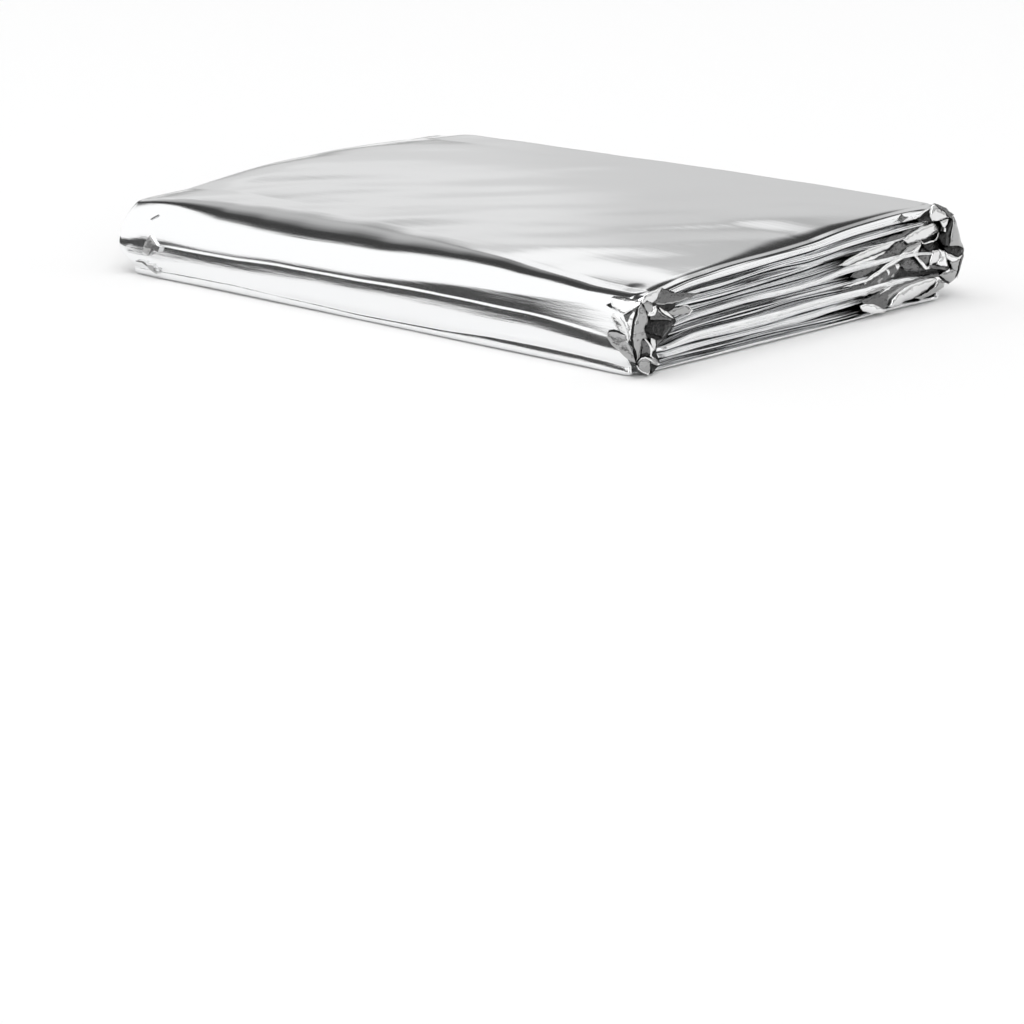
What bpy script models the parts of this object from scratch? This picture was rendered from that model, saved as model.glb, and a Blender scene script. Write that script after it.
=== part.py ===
"""A folded emergency foil blanket, lying flat.

The blanket is one large rectangle of thin metallised film. It is pleated into a narrow bundle of
plies, and the bundle is wound flat over itself, each turn inside the one before it. So the folded
pack has a smooth spine, where the outermost turn runs over the full height, a back of nested turns
with a separate lobe at its foot, and two ends where the edges of all the layers show.

Metres, +Z up. X runs along the spine, the spine faces -Y and the back +Y, and the origin is the
middle of the underside.
"""

import math
from collections import namedtuple

import bmesh
import bpy
from mathutils import Vector

MM = 0.001

# Driving dimensions
LENGTH = 120 * MM  # along the spine
DEPTH = 83.5 * MM  # from the spine to the outermost turn at the back
BUNDLE = 1.1 * MM  # thickness of the bundle of plies
SKEW = 2.8 * MM  # how much further the left end reaches at the back than at the spine

# The pack's height over its four corners: it is folded by hand, so it is thicker towards one corner
Corners = namedtuple("Corners", "left_spine right_spine left_back right_back")
HEIGHT = Corners(left_spine=12.0 * MM, right_spine=13.4 * MM, left_back=14.6 * MM, right_back=15.7 * MM)
CROWN = 0.8 * MM  # how much higher the layers stand in the middle
BELLY = 0.5 * MM  # how much higher they stand halfway along the spine and the back
RIPPLE = 0.15 * MM  # the long soft ripples of the top, along the spine
RIPPLE_PITCH = 21 * MM
RIPPLE_SLANT = 0.12  # how far across the pack a ripple drifts for each unit along it

# The turns of one side: their depth at the pack's two ends, and how square their section is there,
# where 2 is an ellipse
Side = namedtuple("Side", "direction depth_left depth_right square_left square_right")
SPINE = Side(direction=-1, depth_left=5.6 * MM, depth_right=4.6 * MM, square_left=2.6, square_right=2.6)
BACK = Side(direction=1, depth_left=4.8 * MM, depth_right=6.2 * MM, square_left=2.2, square_right=2.1)
DEEPEST = 1.1  # no nested turn is deeper than this many times its half height

# The bundle's passes, in the order in which they are laid, from its first end at the spine. level
# counts the layers up from the underside. left and right are how far the layer's two ends stand
# out, wave is how much they waver, and the pockets are how far the right end draws back at its two
# corners, where the outer turns stand open. All but level and steps are in mm.
Pass = namedtuple("Pass", "level steps left right wave spine_pocket back_pocket")
PASSES = (
    Pass(level=1, steps=6, left=-0.8, right=-0.6, wave=0.5, spine_pocket=1.0, back_pocket=0.0),
    Pass(level=0, steps=6, left=0.0, right=-0.1, wave=0.2, spine_pocket=0.0, back_pocket=0.0),
    Pass(level=7, steps=10, left=0.0, right=0.0, wave=0.2, spine_pocket=0.0, back_pocket=0.0),
    Pass(level=2, steps=6, left=-0.3, right=0.3, wave=0.3, spine_pocket=2.6, back_pocket=0.0),
    Pass(level=6, steps=6, left=-1.1, right=-1.0, wave=0.5, spine_pocket=2.6, back_pocket=2.2),
    Pass(level=3, steps=6, left=-0.4, right=-0.8, wave=0.6, spine_pocket=4.2, back_pocket=2.2),
    Pass(level=5, steps=6, left=0.1, right=0.1, wave=0.4, spine_pocket=4.2, back_pocket=3.6),
    Pass(level=4, steps=6, left=-0.6, right=-0.4, wave=0.7, spine_pocket=4.6, back_pocket=3.6),
)
FULL_LEVELS = len(PASSES) - 1
LAST_END = 0.8 * MM  # the bundle's last end stops this far short of the innermost turn of the spine

# The turns between one pass and the next: setback is how far inside the side its crest lies
Turn = namedtuple("Turn", "side setback steps")
TURNS = (
    Turn(side=BACK, setback=3.8 * MM, steps=5),
    Turn(side=SPINE, setback=0.0, steps=12),
    Turn(side=BACK, setback=0.0, steps=12),
    Turn(side=SPINE, setback=1.6 * MM, steps=8),
    Turn(side=BACK, setback=1.6 * MM, steps=8),
    Turn(side=SPINE, setback=3.2 * MM, steps=6),
    Turn(side=BACK, setback=3.2 * MM, steps=5),
)

POCKET_START = 17 * MM  # from the side, where a layer's right end begins to draw back
POCKET_END = 7 * MM  # from the side, where it is drawn back in full
WAVE_PITCH = 33 * MM
WAVE_SHIFT = 2.0  # radians by which each layer's wave runs ahead of the one below
STATIONS = 22  # steps along the spine
STATION_CROWDING = 0.45  # how strongly they crowd towards the two ends, from 0 to 1
PASS_CROWDING = 0.5  # the same for the steps of one pass

# Places where the corners are pushed in or stand out: centre, reach and push, in mm. A push moves
# all the layers near it alike, so they stay apart.
Dent = namedtuple("Dent", "x y z reach push_x push_y push_z")
DENTS = (
    # the right end of the spine
    Dent(x=59, y=-41, z=10.8, reach=8.0, push_x=-0.9, push_y=0.9, push_z=-0.3),
    Dent(x=60, y=-42, z=7.6, reach=6.4, push_x=0.9, push_y=-0.7, push_z=0.0),
    Dent(x=54, y=-42, z=9.0, reach=9.0, push_x=0.0, push_y=0.8, push_z=0.0),
    Dent(x=60, y=-41, z=3.2, reach=6.8, push_x=-0.8, push_y=0.7, push_z=0.3),
    # the left end of the spine
    Dent(x=-59, y=-39, z=10.5, reach=8.0, push_x=0.7, push_y=0.4, push_z=-0.3),
    Dent(x=-60, y=-41, z=6.5, reach=7.2, push_x=-0.7, push_y=-0.5, push_z=0.0),
    Dent(x=-59, y=-40, z=2.6, reach=7.6, push_x=1.1, push_y=0.9, push_z=0.2),
    # the right end of the back
    Dent(x=58, y=36, z=15.6, reach=7.2, push_x=-1.0, push_y=0.0, push_z=-0.9),
    Dent(x=60, y=40, z=13.0, reach=5.2, push_x=0.4, push_y=0.5, push_z=0.2),
    Dent(x=60, y=42, z=11.0, reach=5.2, push_x=-0.6, push_y=-0.9, push_z=-0.3),
    Dent(x=60, y=42, z=8.4, reach=5.6, push_x=0.5, push_y=1.0, push_z=0.0),
    Dent(x=60, y=41, z=5.0, reach=6.0, push_x=-0.9, push_y=-0.9, push_z=0.4),
    Dent(x=52, y=42, z=11.5, reach=9.0, push_x=0.0, push_y=-0.9, push_z=-0.2),
    Dent(x=46, y=42, z=8.0, reach=8.0, push_x=0.0, push_y=-0.6, push_z=0.2),
    # the left end of the back
    Dent(x=-60, y=40, z=12.0, reach=12.0, push_x=1.2, push_y=-1.0, push_z=-0.6),
)

NO_LIFT_BELOW = 3 * MM  # a dent's upward or downward push fades out over this height above the floor

# A point of the pack's cross section: its place, and where its layer ends at the left and the right
SectionPoint = namedtuple("SectionPoint", "y z left_end right_end")


def blend(start, end, share):
    return start + (end - start) * share


def crowded(share, amount):
    """A share from 0 to 1 moved towards the nearer end of its range."""
    return blend(share, 0.5 - 0.5 * math.cos(math.pi * share), amount)


def ease(share):
    share = min(max(share, 0.0), 1.0)
    return share * share * (3.0 - 2.0 * share)


def pack_height(x, y):
    """Height of the pack's top at the place (x, y)."""
    along = 0.5 + x / LENGTH
    at_spine = blend(HEIGHT.left_spine, HEIGHT.right_spine, along)
    at_back = blend(HEIGHT.left_back, HEIGHT.right_back, along)
    mid_length = 1.0 - (2.0 * x / LENGTH) ** 2
    mid_depth = 1.0 - (2.0 * y / DEPTH) ** 2
    ripple = RIPPLE * math.sin(2.0 * math.pi * (y + RIPPLE_SLANT * x) / RIPPLE_PITCH)
    raised = mid_length * (BELLY + mid_depth * (CROWN + ripple))
    return blend(at_spine, at_back, 0.5 + y / DEPTH) + raised


def layer_height(level, x, y):
    """Height of the middle of a layer: layer 0 lies flat, and the others share the rest evenly."""
    spacing = (pack_height(x, y) - BUNDLE) / FULL_LEVELS
    return BUNDLE / 2.0 + level * spacing


def layer_ends(a_pass, y):
    """Where a layer ends at the left and at the right, at the depth y."""
    waver = a_pass.wave * MM * math.sin(2.0 * math.pi * y / WAVE_PITCH + WAVE_SHIFT * a_pass.level)
    from_side = DEPTH / 2.0 - abs(y)
    drawn_back = ease((POCKET_START - from_side) / (POCKET_START - POCKET_END))
    pocket = drawn_back * MM * (a_pass.spine_pocket if y < 0.0 else a_pass.back_pocket)
    left = -LENGTH / 2.0 + SKEW * (0.5 - y / DEPTH) - a_pass.left * MM - waver
    right = LENGTH / 2.0 + a_pass.right * MM + waver - pocket
    return left, right


def turn_shape(turn, before, after, x):
    """Where a turn starts, how deep it is and how square, at the station x."""
    along = 0.5 + x / LENGTH
    side = turn.side
    depth = blend(side.depth_left, side.depth_right, along)
    nominal_y = side.direction * (DEPTH / 2.0 - depth)
    half_height = abs(
        layer_height(after.level, x, nominal_y) - layer_height(before.level, x, nominal_y)
    ) / 2.0
    if turn.setback:
        depth = min(depth - turn.setback, DEEPEST * half_height)
    start_y = side.direction * (DEPTH / 2.0 - turn.setback - depth)
    return start_y, depth, blend(side.square_left, side.square_right, along)


def pass_points(a_pass, start_y, end_y, x):
    """The section points of one pass, both its ends included."""
    points = []
    for step in range(a_pass.steps + 1):
        y = blend(start_y, end_y, crowded(step / a_pass.steps, PASS_CROWDING))
        points.append(SectionPoint(y, layer_height(a_pass.level, x, y), *layer_ends(a_pass, y)))
    return points


def turn_points(turn, before, after, x):
    """The section points of one turn. Its two ends are left out, as they belong to the passes."""
    start_y, depth, square = turn_shape(turn, before, after, x)
    first_z = layer_height(before.level, x, start_y)
    last_z = layer_height(after.level, x, start_y)
    points = []
    for step in range(1, turn.steps):
        share = step / turn.steps
        angle = math.pi * (share - 0.5)
        rise = math.copysign(abs(math.sin(angle)) ** (2.0 / square), angle)
        y = start_y + turn.side.direction * depth * math.cos(angle) ** (2.0 / square)
        z = blend(first_z, last_z, 0.5 + rise / 2.0)
        first_left, first_right = layer_ends(before, y)
        last_left, last_right = layer_ends(after, y)
        left = blend(first_left, last_left, share)
        right = blend(first_right, last_right, share)
        points.append(SectionPoint(y, z, left, right))
    return points


def section(x):
    """The bundle's whole way through the pack at the station x, from its first end to its last."""
    starts = [
        turn_shape(turn, PASSES[i], PASSES[i + 1], x)[0] for i, turn in enumerate(TURNS)
    ]
    first_end = starts[1]
    last_end = starts[-2] + LAST_END
    ends = [first_end, *starts, last_end]
    points = []
    for i, a_pass in enumerate(PASSES):
        points += pass_points(a_pass, ends[i], ends[i + 1], x)
        if i < len(TURNS):
            points += turn_points(TURNS[i], a_pass, PASSES[i + 1], x)
    return points


def pushed(place):
    """The place after the dents. Nothing near the underside is lifted or pressed into it."""
    moved = place.copy()
    for dent in DENTS:
        distance = (place - Vector((dent.x, dent.y, dent.z)) * MM).length
        share = ease(1.0 - distance / (dent.reach * MM))
        moved += share * MM * Vector((dent.push_x, dent.push_y, dent.push_z))
    moved.z = blend(place.z, moved.z, ease(place.z / NO_LIFT_BELOW))
    return moved


def station_share(station):
    """How far along the spine a station is, from 0 to 1."""
    return crowded(station / STATIONS, STATION_CROWDING)


def foil_material():
    material = bpy.data.materials.new("metallised_film")
    material.use_nodes = True
    shader = material.node_tree.nodes["Principled BSDF"]
    shader.inputs["Base Color"].default_value = (0.86, 0.87, 0.88, 1.0)
    shader.inputs["Metallic"].default_value = 1.0
    shader.inputs["Roughness"].default_value = 0.15
    return material


def wound_bundle():
    """The middle surface of the bundle: a flat grid whose rows are laid along the winding."""
    rows = [section(LENGTH * (station_share(station) - 0.5)) for station in range(STATIONS + 1)]
    path_steps = len(rows[0]) - 1
    bm = bmesh.new()
    bmesh.ops.create_grid(bm, x_segments=path_steps, y_segments=STATIONS, size=0.5)
    for vertex in bm.verts:
        step = round((vertex.co.x + 0.5) * path_steps)
        station = round((vertex.co.y + 0.5) * STATIONS)
        point = rows[station][step]
        x = blend(point.left_end, point.right_end, station_share(station))
        vertex.co = pushed(Vector((x, point.y, point.z)))
    mesh = bpy.data.meshes.new("foil_blanket")
    bm.to_mesh(mesh)
    bm.free()
    return mesh


def centre_on_footprint(blanket):
    """Moves the mesh so that the origin is the middle of the finished solid's footprint."""
    bpy.context.view_layer.update()
    solid = blanket.evaluated_get(bpy.context.evaluated_depsgraph_get())
    corners = [Vector(corner) for corner in solid.bound_box]
    middle = (corners[0] + corners[6]) / 2.0
    for vertex in blanket.data.vertices:
        vertex.co.x -= middle.x
        vertex.co.y -= middle.y


for leftover in list(bpy.data.objects):
    bpy.data.objects.remove(leftover)

collection = bpy.data.collections.new("emergency_foil_blanket")
bpy.context.scene.collection.children.link(collection)

foil_blanket = bpy.data.objects.new("foil_blanket", wound_bundle())
collection.objects.link(foil_blanket)
foil_blanket.data.materials.append(foil_material())

wall = foil_blanket.modifiers.new("bundle", "SOLIDIFY")
wall.thickness = BUNDLE
wall.offset = 0.0

centre_on_footprint(foil_blanket)
foil_blanket.data.shade_smooth()
foil_blanket.data.set_sharp_from_angle(angle=math.radians(40))
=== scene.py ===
"""The looks of a folded emergency foil blanket: thin metallised film, pleated and wound flat.

Metres, +Z up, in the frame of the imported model: X runs along the spine, the spine faces -Y and the
back +Y, and the origin is the middle of the underside. The film is a surface without a thickness,
because it is 12 micrometres thick.
"""

import math
from collections import namedtuple

import bmesh
import bpy
import numpy as np
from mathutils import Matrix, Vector


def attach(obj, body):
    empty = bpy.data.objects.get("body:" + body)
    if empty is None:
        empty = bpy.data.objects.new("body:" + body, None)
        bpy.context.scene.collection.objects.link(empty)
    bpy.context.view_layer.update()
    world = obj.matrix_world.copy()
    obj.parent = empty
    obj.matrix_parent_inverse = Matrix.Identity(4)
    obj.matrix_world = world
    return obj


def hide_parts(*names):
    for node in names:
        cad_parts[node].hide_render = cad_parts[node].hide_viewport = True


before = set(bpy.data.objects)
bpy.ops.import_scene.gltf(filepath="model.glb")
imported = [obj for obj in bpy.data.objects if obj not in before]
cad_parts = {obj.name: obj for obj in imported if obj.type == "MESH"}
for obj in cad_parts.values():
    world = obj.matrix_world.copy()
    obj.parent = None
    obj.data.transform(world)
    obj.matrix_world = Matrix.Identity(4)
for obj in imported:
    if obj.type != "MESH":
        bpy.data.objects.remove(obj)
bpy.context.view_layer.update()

# ---------------------------------------------------------------------------------------------
# Camera: a long lens, a little above the pack and turned towards its near corner, where the spine
# and the open end meet.

MM = 0.001
CAMERA_PLACE = Vector((410.9, -442.7, 125.8)) * MM
CAMERA_AZIMUTH = math.radians(43.18)
CAMERA_PITCH = math.radians(15.42)  # below the horizon
CAMERA_LENS = 126.56  # mm
SENSOR_WIDTH = 36.0  # mm
NEAREST_SEEN = 0.05
FARTHEST_SEEN = 50.0

camera_data = bpy.data.cameras.new("camera")
camera_data.lens = CAMERA_LENS
camera_data.sensor_width = SENSOR_WIDTH
camera_data.clip_start = NEAREST_SEEN
camera_data.clip_end = FARTHEST_SEEN
camera = bpy.data.objects.new("camera", camera_data)
camera.location = CAMERA_PLACE
camera.rotation_euler = (math.radians(90.0) - CAMERA_PITCH, 0.0, CAMERA_AZIMUTH)
bpy.context.scene.collection.objects.link(camera)
bpy.context.scene.camera = camera
bpy.context.scene.view_settings.view_transform = "Standard"

# ---------------------------------------------------------------------------------------------
# Floor: a plain sheet of matt white board, far larger than the pack.

FLOOR_HALF = 6.0  # m, from the middle to each side
FLOOR_DROP = 0.05 * MM  # how far below the underside it lies, so that the two don't fight
BOARD_WHITE = (0.9, 0.9, 0.9, 1.0)
BOARD_ROUGHNESS = 0.9
BOARD_SHINE = 0.1

bm = bmesh.new()
bmesh.ops.create_grid(bm, x_segments=1, y_segments=1, size=FLOOR_HALF)
bmesh.ops.translate(bm, verts=bm.verts, vec=(0.0, 0.0, -FLOOR_DROP))
floor_mesh = bpy.data.meshes.new("floor")
bm.to_mesh(floor_mesh)
bm.free()
floor = bpy.data.objects.new("floor", floor_mesh)
bpy.context.scene.collection.objects.link(floor)

board = bpy.data.materials.new("white_board")
board.use_nodes = True
board_shader = board.node_tree.nodes["Principled BSDF"]
board_shader.inputs["Base Color"].default_value = BOARD_WHITE
board_shader.inputs["Roughness"].default_value = BOARD_ROUGHNESS
board_shader.inputs["Specular IOR Level"].default_value = BOARD_SHINE
floor_mesh.materials.append(board)

# ---------------------------------------------------------------------------------------------
# Light: a pale studio room. Soft boxes stand at the left and overhead, and the strip between them
# stays dark, because mirror-bright film shows its shape by what it reflects.

# The patches of light, in degrees: each is centred on its azimuth, which is 0 at the back and grows
# towards the left, reaches half_width to both sides and from low to high, and softens over edge at
# its sides and over fade below and above. Where patches overlap, the brighter one shows.
Patch = namedtuple("Patch", "name azimuth half_width edge low high fade level")
PATCHES = (
    Patch("backdrop", 10, 95, 20, 6, 15, 9, 0.645),
    Patch("left_backdrop", 80, 44, 8, 6, 16, 9, 0.69),
    Patch("mid_backdrop", 80, 44, 8, 13, 16, 4, 0.83),
    Patch("left_box", 138, 60, 9, 12, 60, 5, 1.09),
    Patch("back_box", -22, 48, 10, 19, 62, 7, 1.0),
    Patch("brow_box", 43, 6, 4, 21, 28, 3, 1.05),
    Patch("brow_haze", 57, 14, 9, 19, 26, 17, 0.50),
    Patch("right_box", -120, 26, 12, 8, 50, 10, 2.2),
)
ROOM_LEVEL = 0.045  # the dark of the room between the boxes

world = bpy.data.worlds.new("studio")
world.use_nodes = True
bpy.context.scene.world = world
room = world.node_tree
room.nodes.clear()


def math_node(tree, operation, *values):
    """A Math node of a node tree. Each value is a number or another node's output."""
    node = tree.nodes.new("ShaderNodeMath")
    node.operation = operation
    for socket, value in zip(node.inputs, values):
        if isinstance(value, (int, float)):
            socket.default_value = value
        else:
            tree.links.new(value, socket)
    return node.outputs["Value"]


def step_node(tree, value, start, end, low=0.0, high=1.0):
    """Goes smoothly from low to high while the value goes from start to end."""
    node = tree.nodes.new("ShaderNodeMapRange")
    node.interpolation_type = "SMOOTHSTEP"
    node.inputs["From Min"].default_value = start
    node.inputs["From Max"].default_value = end
    node.inputs["To Min"].default_value = low
    node.inputs["To Max"].default_value = high
    tree.links.new(value, node.inputs["Value"])
    return node.outputs["Result"]


direction = room.nodes.new("ShaderNodeTexCoord").outputs["Generated"]
direction_parts = room.nodes.new("ShaderNodeSeparateXYZ")
room.links.new(direction, direction_parts.inputs["Vector"])
to_degrees = math.degrees(1.0)
upward_angle = math_node(room, "ARCSINE", direction_parts.outputs["Z"])
elevation = math_node(room, "MULTIPLY", upward_angle, to_degrees)
leftward = math_node(room, "MULTIPLY", direction_parts.outputs["X"], -1.0)
leftward_angle = math_node(room, "ARCTAN2", leftward, direction_parts.outputs["Y"])
azimuth = math_node(room, "MULTIPLY", leftward_angle, to_degrees)  # 0 at the back

total = None
for patch in PATCHES:
    turned = math_node(room, "SUBTRACT", azimuth, patch.azimuth)
    wrapped = math_node(room, "WRAP", turned, 180.0, -180.0)
    aside = math_node(room, "ABSOLUTE", wrapped)
    across = step_node(room, aside, patch.half_width, patch.half_width - patch.edge)
    above = step_node(room, elevation, patch.low - patch.fade, patch.low)
    below = step_node(room, elevation, patch.high + patch.fade, patch.high)
    band = math_node(room, "MULTIPLY", above, below)
    mask = math_node(room, "MULTIPLY", band, across)
    lit = math_node(room, "MULTIPLY", mask, patch.level)
    lit.node.label = patch.name
    total = lit if total is None else math_node(room, "MAXIMUM", total, lit)
total = math_node(room, "MAXIMUM", total, ROOM_LEVEL)

background = room.nodes.new("ShaderNodeBackground")
room.links.new(total, background.inputs["Color"])
background.inputs["Strength"].default_value = 1.0
room_output = room.nodes.new("ShaderNodeOutputWorld")
room.links.new(background.outputs["Background"], room_output.inputs["Surface"])

OVERHEAD_SIDE = 2.2
OVERHEAD_PLACE = (0.0, -0.2, 2.2)
OVERHEAD_POWER = 31.0  # watts

overhead_data = bpy.data.lights.new("overhead_box", "AREA")
overhead_data.shape = "SQUARE"
overhead_data.size = OVERHEAD_SIDE
overhead_data.energy = OVERHEAD_POWER
overhead = bpy.data.objects.new("overhead_box", overhead_data)
overhead.location = OVERHEAD_PLACE
bpy.context.scene.collection.objects.link(overhead)

# ---------------------------------------------------------------------------------------------
# The blanket's outer film: the outermost two plies of the bundle where it passes over the foot,
# the spine, the top and the back. 12 micrometre polyester film with a metallised face. Its long
# edge is folded back under itself, which makes the soft rim at both ends of the pack.

TURN_THICK = 1.1 * MM  # all plies together where the bundle turns
EASE_LENGTH = 12 * MM  # over which the plies close up before a turn
LENGTH = 120 * MM
DEPTH = 83.5 * MM + TURN_THICK  # over the outer faces of the outermost turns
SKEW = 2.0 * MM  # how much further the left end reaches at the back than at the spine
LEVELS = 8  # of passes, one above another

# The top's height at the pack's corners
Corners = namedtuple("Corners", "left_spine right_spine left_back right_back")
HEIGHT = Corners(left_spine=12.0 * MM, right_spine=13.4 * MM, left_back=14.6 * MM, right_back=16.2 * MM)
CROWN = 0.8 * MM  # how much higher the top stands in the middle
BELLY = 0.5 * MM  # how much higher it stands halfway along the spine and the back
SLOT_GAP = 0.02  # share of a level's height left free below and above its plies

# What changes the top's height towards its corners. Each change grows from one place to another, in
# mm along X and across Y. An arch has its middle and its reach there, and its least share.
LEFT_CROWN = 1.6 * MM  # the top arches along its left end, and sinks towards the corners there
LEFT_CROWN_ALONG = (-12.0, -60.0)
LEFT_CROWN_ARCH = (2.0, 34.0, 0.3)
NEAR_SAG = 0.9 * MM  # it is lower towards the near corner
NEAR_SAG_ALONG = (10.0, 60.0)
NEAR_SAG_ACROSS = (20.0, -40.0)
NEAR_DROOP = 1.1 * MM  # it rounds down further there
NEAR_DROOP_ALONG = (26.0, 56.0)
NEAR_DROOP_ACROSS = (-26.0, -42.0)
FAR_RISE = 0.45 * MM  # it is higher towards the right end of the back
FAR_RISE_ALONG = (25.0, 60.0)
FAR_RISE_ARCH = (19.0, 17.0, 0.0)

# The spine's outer face at a few stations along X: how far the film runs while it turns through
# each stretch of tilt, in mm. The streak stands nearly upright. edge is the tilt of its upper edge,
# and hold how long it keeps that tilt, where 1 is an even turn. A raised line runs along it, and
# ridge is its place there. Under the roll the film tucks in as far as the tilt under, and meets a
# small foot lobe in a crease.
Bend = namedtuple("Bend", "x brow shoulder face edge streak hold ridge belly under toe foot")
SPINE_BENDS = (
    #      x  brow  shoulder  face  edge  streak  hold  ridge  belly  under   toe  foot
    Bend(-60,  1.0,      1.2,  6.9, 78.0,    1.9,  1.0,   1.1,   2.5,   135,  0.3,  1.2),
    Bend(-50,  1.4,      2.2,  6.5, 78.0,    2.0,  1.0,  1.12,   1.4,   122, 0.35,  1.4),
    Bend(-40,  1.8,      5.0,  6.0, 78.0,    1.7,  1.0,  1.08,   2.1,   118, 0.35,  1.8),
    Bend(-30,  2.4,      6.2,  5.5, 78.0,    1.8,  1.0,  1.02,   2.2,   116, 0.35,  1.9),
    Bend(-20,  3.0,      6.8,  5.0, 78.0,    2.1,  1.0,  0.92,   3.0,   116, 0.35,  1.6),
    Bend(-10,  3.0,      6.6,  5.2, 78.0,    1.9,  1.0,  0.84,   3.6,   116, 0.35,  1.4),
    Bend(  0,  2.6,      6.0,  5.6, 78.0,    2.1,  1.0,  0.78,   4.2,   116, 0.35,  1.1),
    Bend( 10,  2.2,      4.6,  5.4, 77.0,    2.5,  1.0,   0.7,   4.0,   116,  0.4,  1.2),
    Bend( 20,  2.0,      3.4,  4.8, 77.5,    3.5,  1.0,  0.55,   3.7,   116,  0.5,  1.3),
    Bend( 30,  2.0,      2.9,  4.2, 76.5,    4.3,  1.0,  0.50,   3.0,   116,  0.8,  1.6),
    Bend( 40,  2.0,      2.1,  3.6, 77.2,    4.7,  1.3,  0.41,   3.4,   116,  1.0,  1.6),
    Bend( 50,  2.0,      1.7,  2.5, 76.4,    6.0,  3.0, 0.333,   3.0,   120,  1.0,  1.6),
    Bend( 56,  2.0,      1.5,  3.6, 75.0,    5.6,  3.2, 0.357,   2.6,   120,  1.0,  1.4),
    Bend( 60,  2.0,      1.5,  4.0, 74.6,    5.2,  3.0,   0.4,   2.8,   126,  0.8,  1.2),
)
BROW_TILTS = (4.0, 7.0)  # of the outward normal from +Z, in degrees, at the ends of each stretch
SHOULDER_TILTS = (7.0, 33.0)
FACE_START = 33.0  # it ends at the edge of the streak
BELLY_START = 82.0
TOE_TILTS = (76.0, 84.0)
FOOT_TILTS = (84.0, 180.0)
CREASE_RUN = 0.12 * MM  # over which the tuck's tilt goes back to the toe's
STREAK = 4  # its number among the stretches, from the floor up
RIDGE_DIP = 14.0  # degrees by which the film leans back along the raised line
RIDGE_WIDTH = 0.15 * MM
RIDGE_STARTS = (-56.0, -44.0)  # along X, in mm
RIDGE_ENDS = (57.0, 49.0)

# The turns of one side: their depth at the pack's two ends, and how square their section is there,
# where 2 is an ellipse
Side = namedtuple("Side", "direction depth_left depth_right square_left square_right")
SPINE = Side(direction=-1, depth_left=6.1 * MM, depth_right=5.1 * MM, square_left=2.5, square_right=2.6)
BACK = Side(direction=1, depth_left=5.3 * MM, depth_right=6.7 * MM, square_left=2.1, square_right=1.8)
DEEPEST = 1.1  # no nested turn is deeper than this many times its half height

# The bundle's passes in the order in which they are laid, from its first end at the spine. level
# counts up from the floor. A rising pass has its outer face up. left and right are how far its ends
# stand out, wave how much they waver and the pockets how far its right end draws back near the spine
# and the back, all in mm. fat is the share of its thickness that the outermost fold takes up.
Pass = namedtuple("Pass", "level rising left right wave spine_pocket back_pocket fat")
PASSES = (
    Pass(1,  True, -0.8, -0.5, 0.3, 1.5, 0.0, 0.62),
    Pass(0, False,  0.0, -0.1, 0.1, 0.0, 0.0, 0.58),
    Pass(7,  True,  0.0,  0.0, 0.1, 0.0, 0.0, 0.72),
    Pass(2, False, -0.3,  0.3, 0.2, 1.6, 1.5, 0.80),
    Pass(6,  True, -1.1, -0.5, 0.3, 1.8, 1.5, 0.50),
    Pass(3, False, -0.4, -0.9, 0.3, 1.8, 4.5, 0.44),
    Pass(5,  True,  0.1, -0.9, 0.3, 2.0, 3.0, 0.28),
    Pass(4, False, -0.6,  0.1, 0.3, 2.0, 4.0, 0.66),
)

# The turns between one pass and the next. setback is how far a turn's crest lies inside the
# outermost crest of its side.
Turn = namedtuple("Turn", "side setback")
TURNS = (
    Turn(side=BACK, setback=5.6 * MM),
    Turn(side=SPINE, setback=0.0),
    Turn(side=BACK, setback=0.0),
    Turn(side=SPINE, setback=1.6 * MM),
    Turn(side=BACK, setback=1.6 * MM),
    Turn(side=SPINE, setback=3.2 * MM),
    Turn(side=BACK, setback=3.2 * MM),
)
OUTER_SPINE = 1  # the turn that makes the spine's outer face
POCKET_STARTS = (8.5 * MM, 9.5 * MM)  # from the spine and from the back, where the ends draw back
POCKET_ENDS = (5.0 * MM, 5.5 * MM)  # and where they are drawn back in full
WAVE_PITCH = 33 * MM
WAVE_SHIFT = 2.0  # radians by which each layer's wave runs ahead of the one below
PASS_LENGTH = 76 * MM  # along the bundle's path, near enough
TURN_LENGTH = 16 * MM
LAST_END = 0.8 * MM  # the bundle's last end stops this far short of the innermost turn of the spine
PASS_CROWDING = 0.35  # how strongly a pass's steps crowd towards its two ends, from 0 to 1


def blend(start, end, share):
    return start + (end - start) * share


def ease(share):
    share = np.clip(share, 0.0, 1.0)
    return share * share * (3.0 - 2.0 * share)


def grown(place, start, end):
    """0 up to the start and 1 from the end on, which are in mm."""
    return np.clip((place / MM - start) / (end - start), 0.0, 1.0)


def arch(place, middle, reach, least):
    """1 at the middle, falling to the least share at the reach. The places are in mm."""
    return np.maximum(1.0 - ((place / MM - middle) / reach) ** 2, least)


def crowded(share, amount):
    """Shares from 0 to 1 moved towards the nearer end of their range."""
    return blend(share, 0.5 - 0.5 * np.cos(np.pi * share), amount)


SHORT_RATE = 2.3  # how many short waves there are to a long one
SHORT_SHARE = 0.55  # their height, against the long ones'


def waver(place, pitch, seed):
    """A slow uneven swing between about -1 and 1: a long wave and a short one on it."""
    turn = 2.0 * np.pi * place / pitch
    long = np.sin(turn + 2.4 * seed)
    short = np.sin(SHORT_RATE * turn + 5.1 * seed + 1.0)
    return (long + SHORT_SHARE * short) / 1.4


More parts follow.
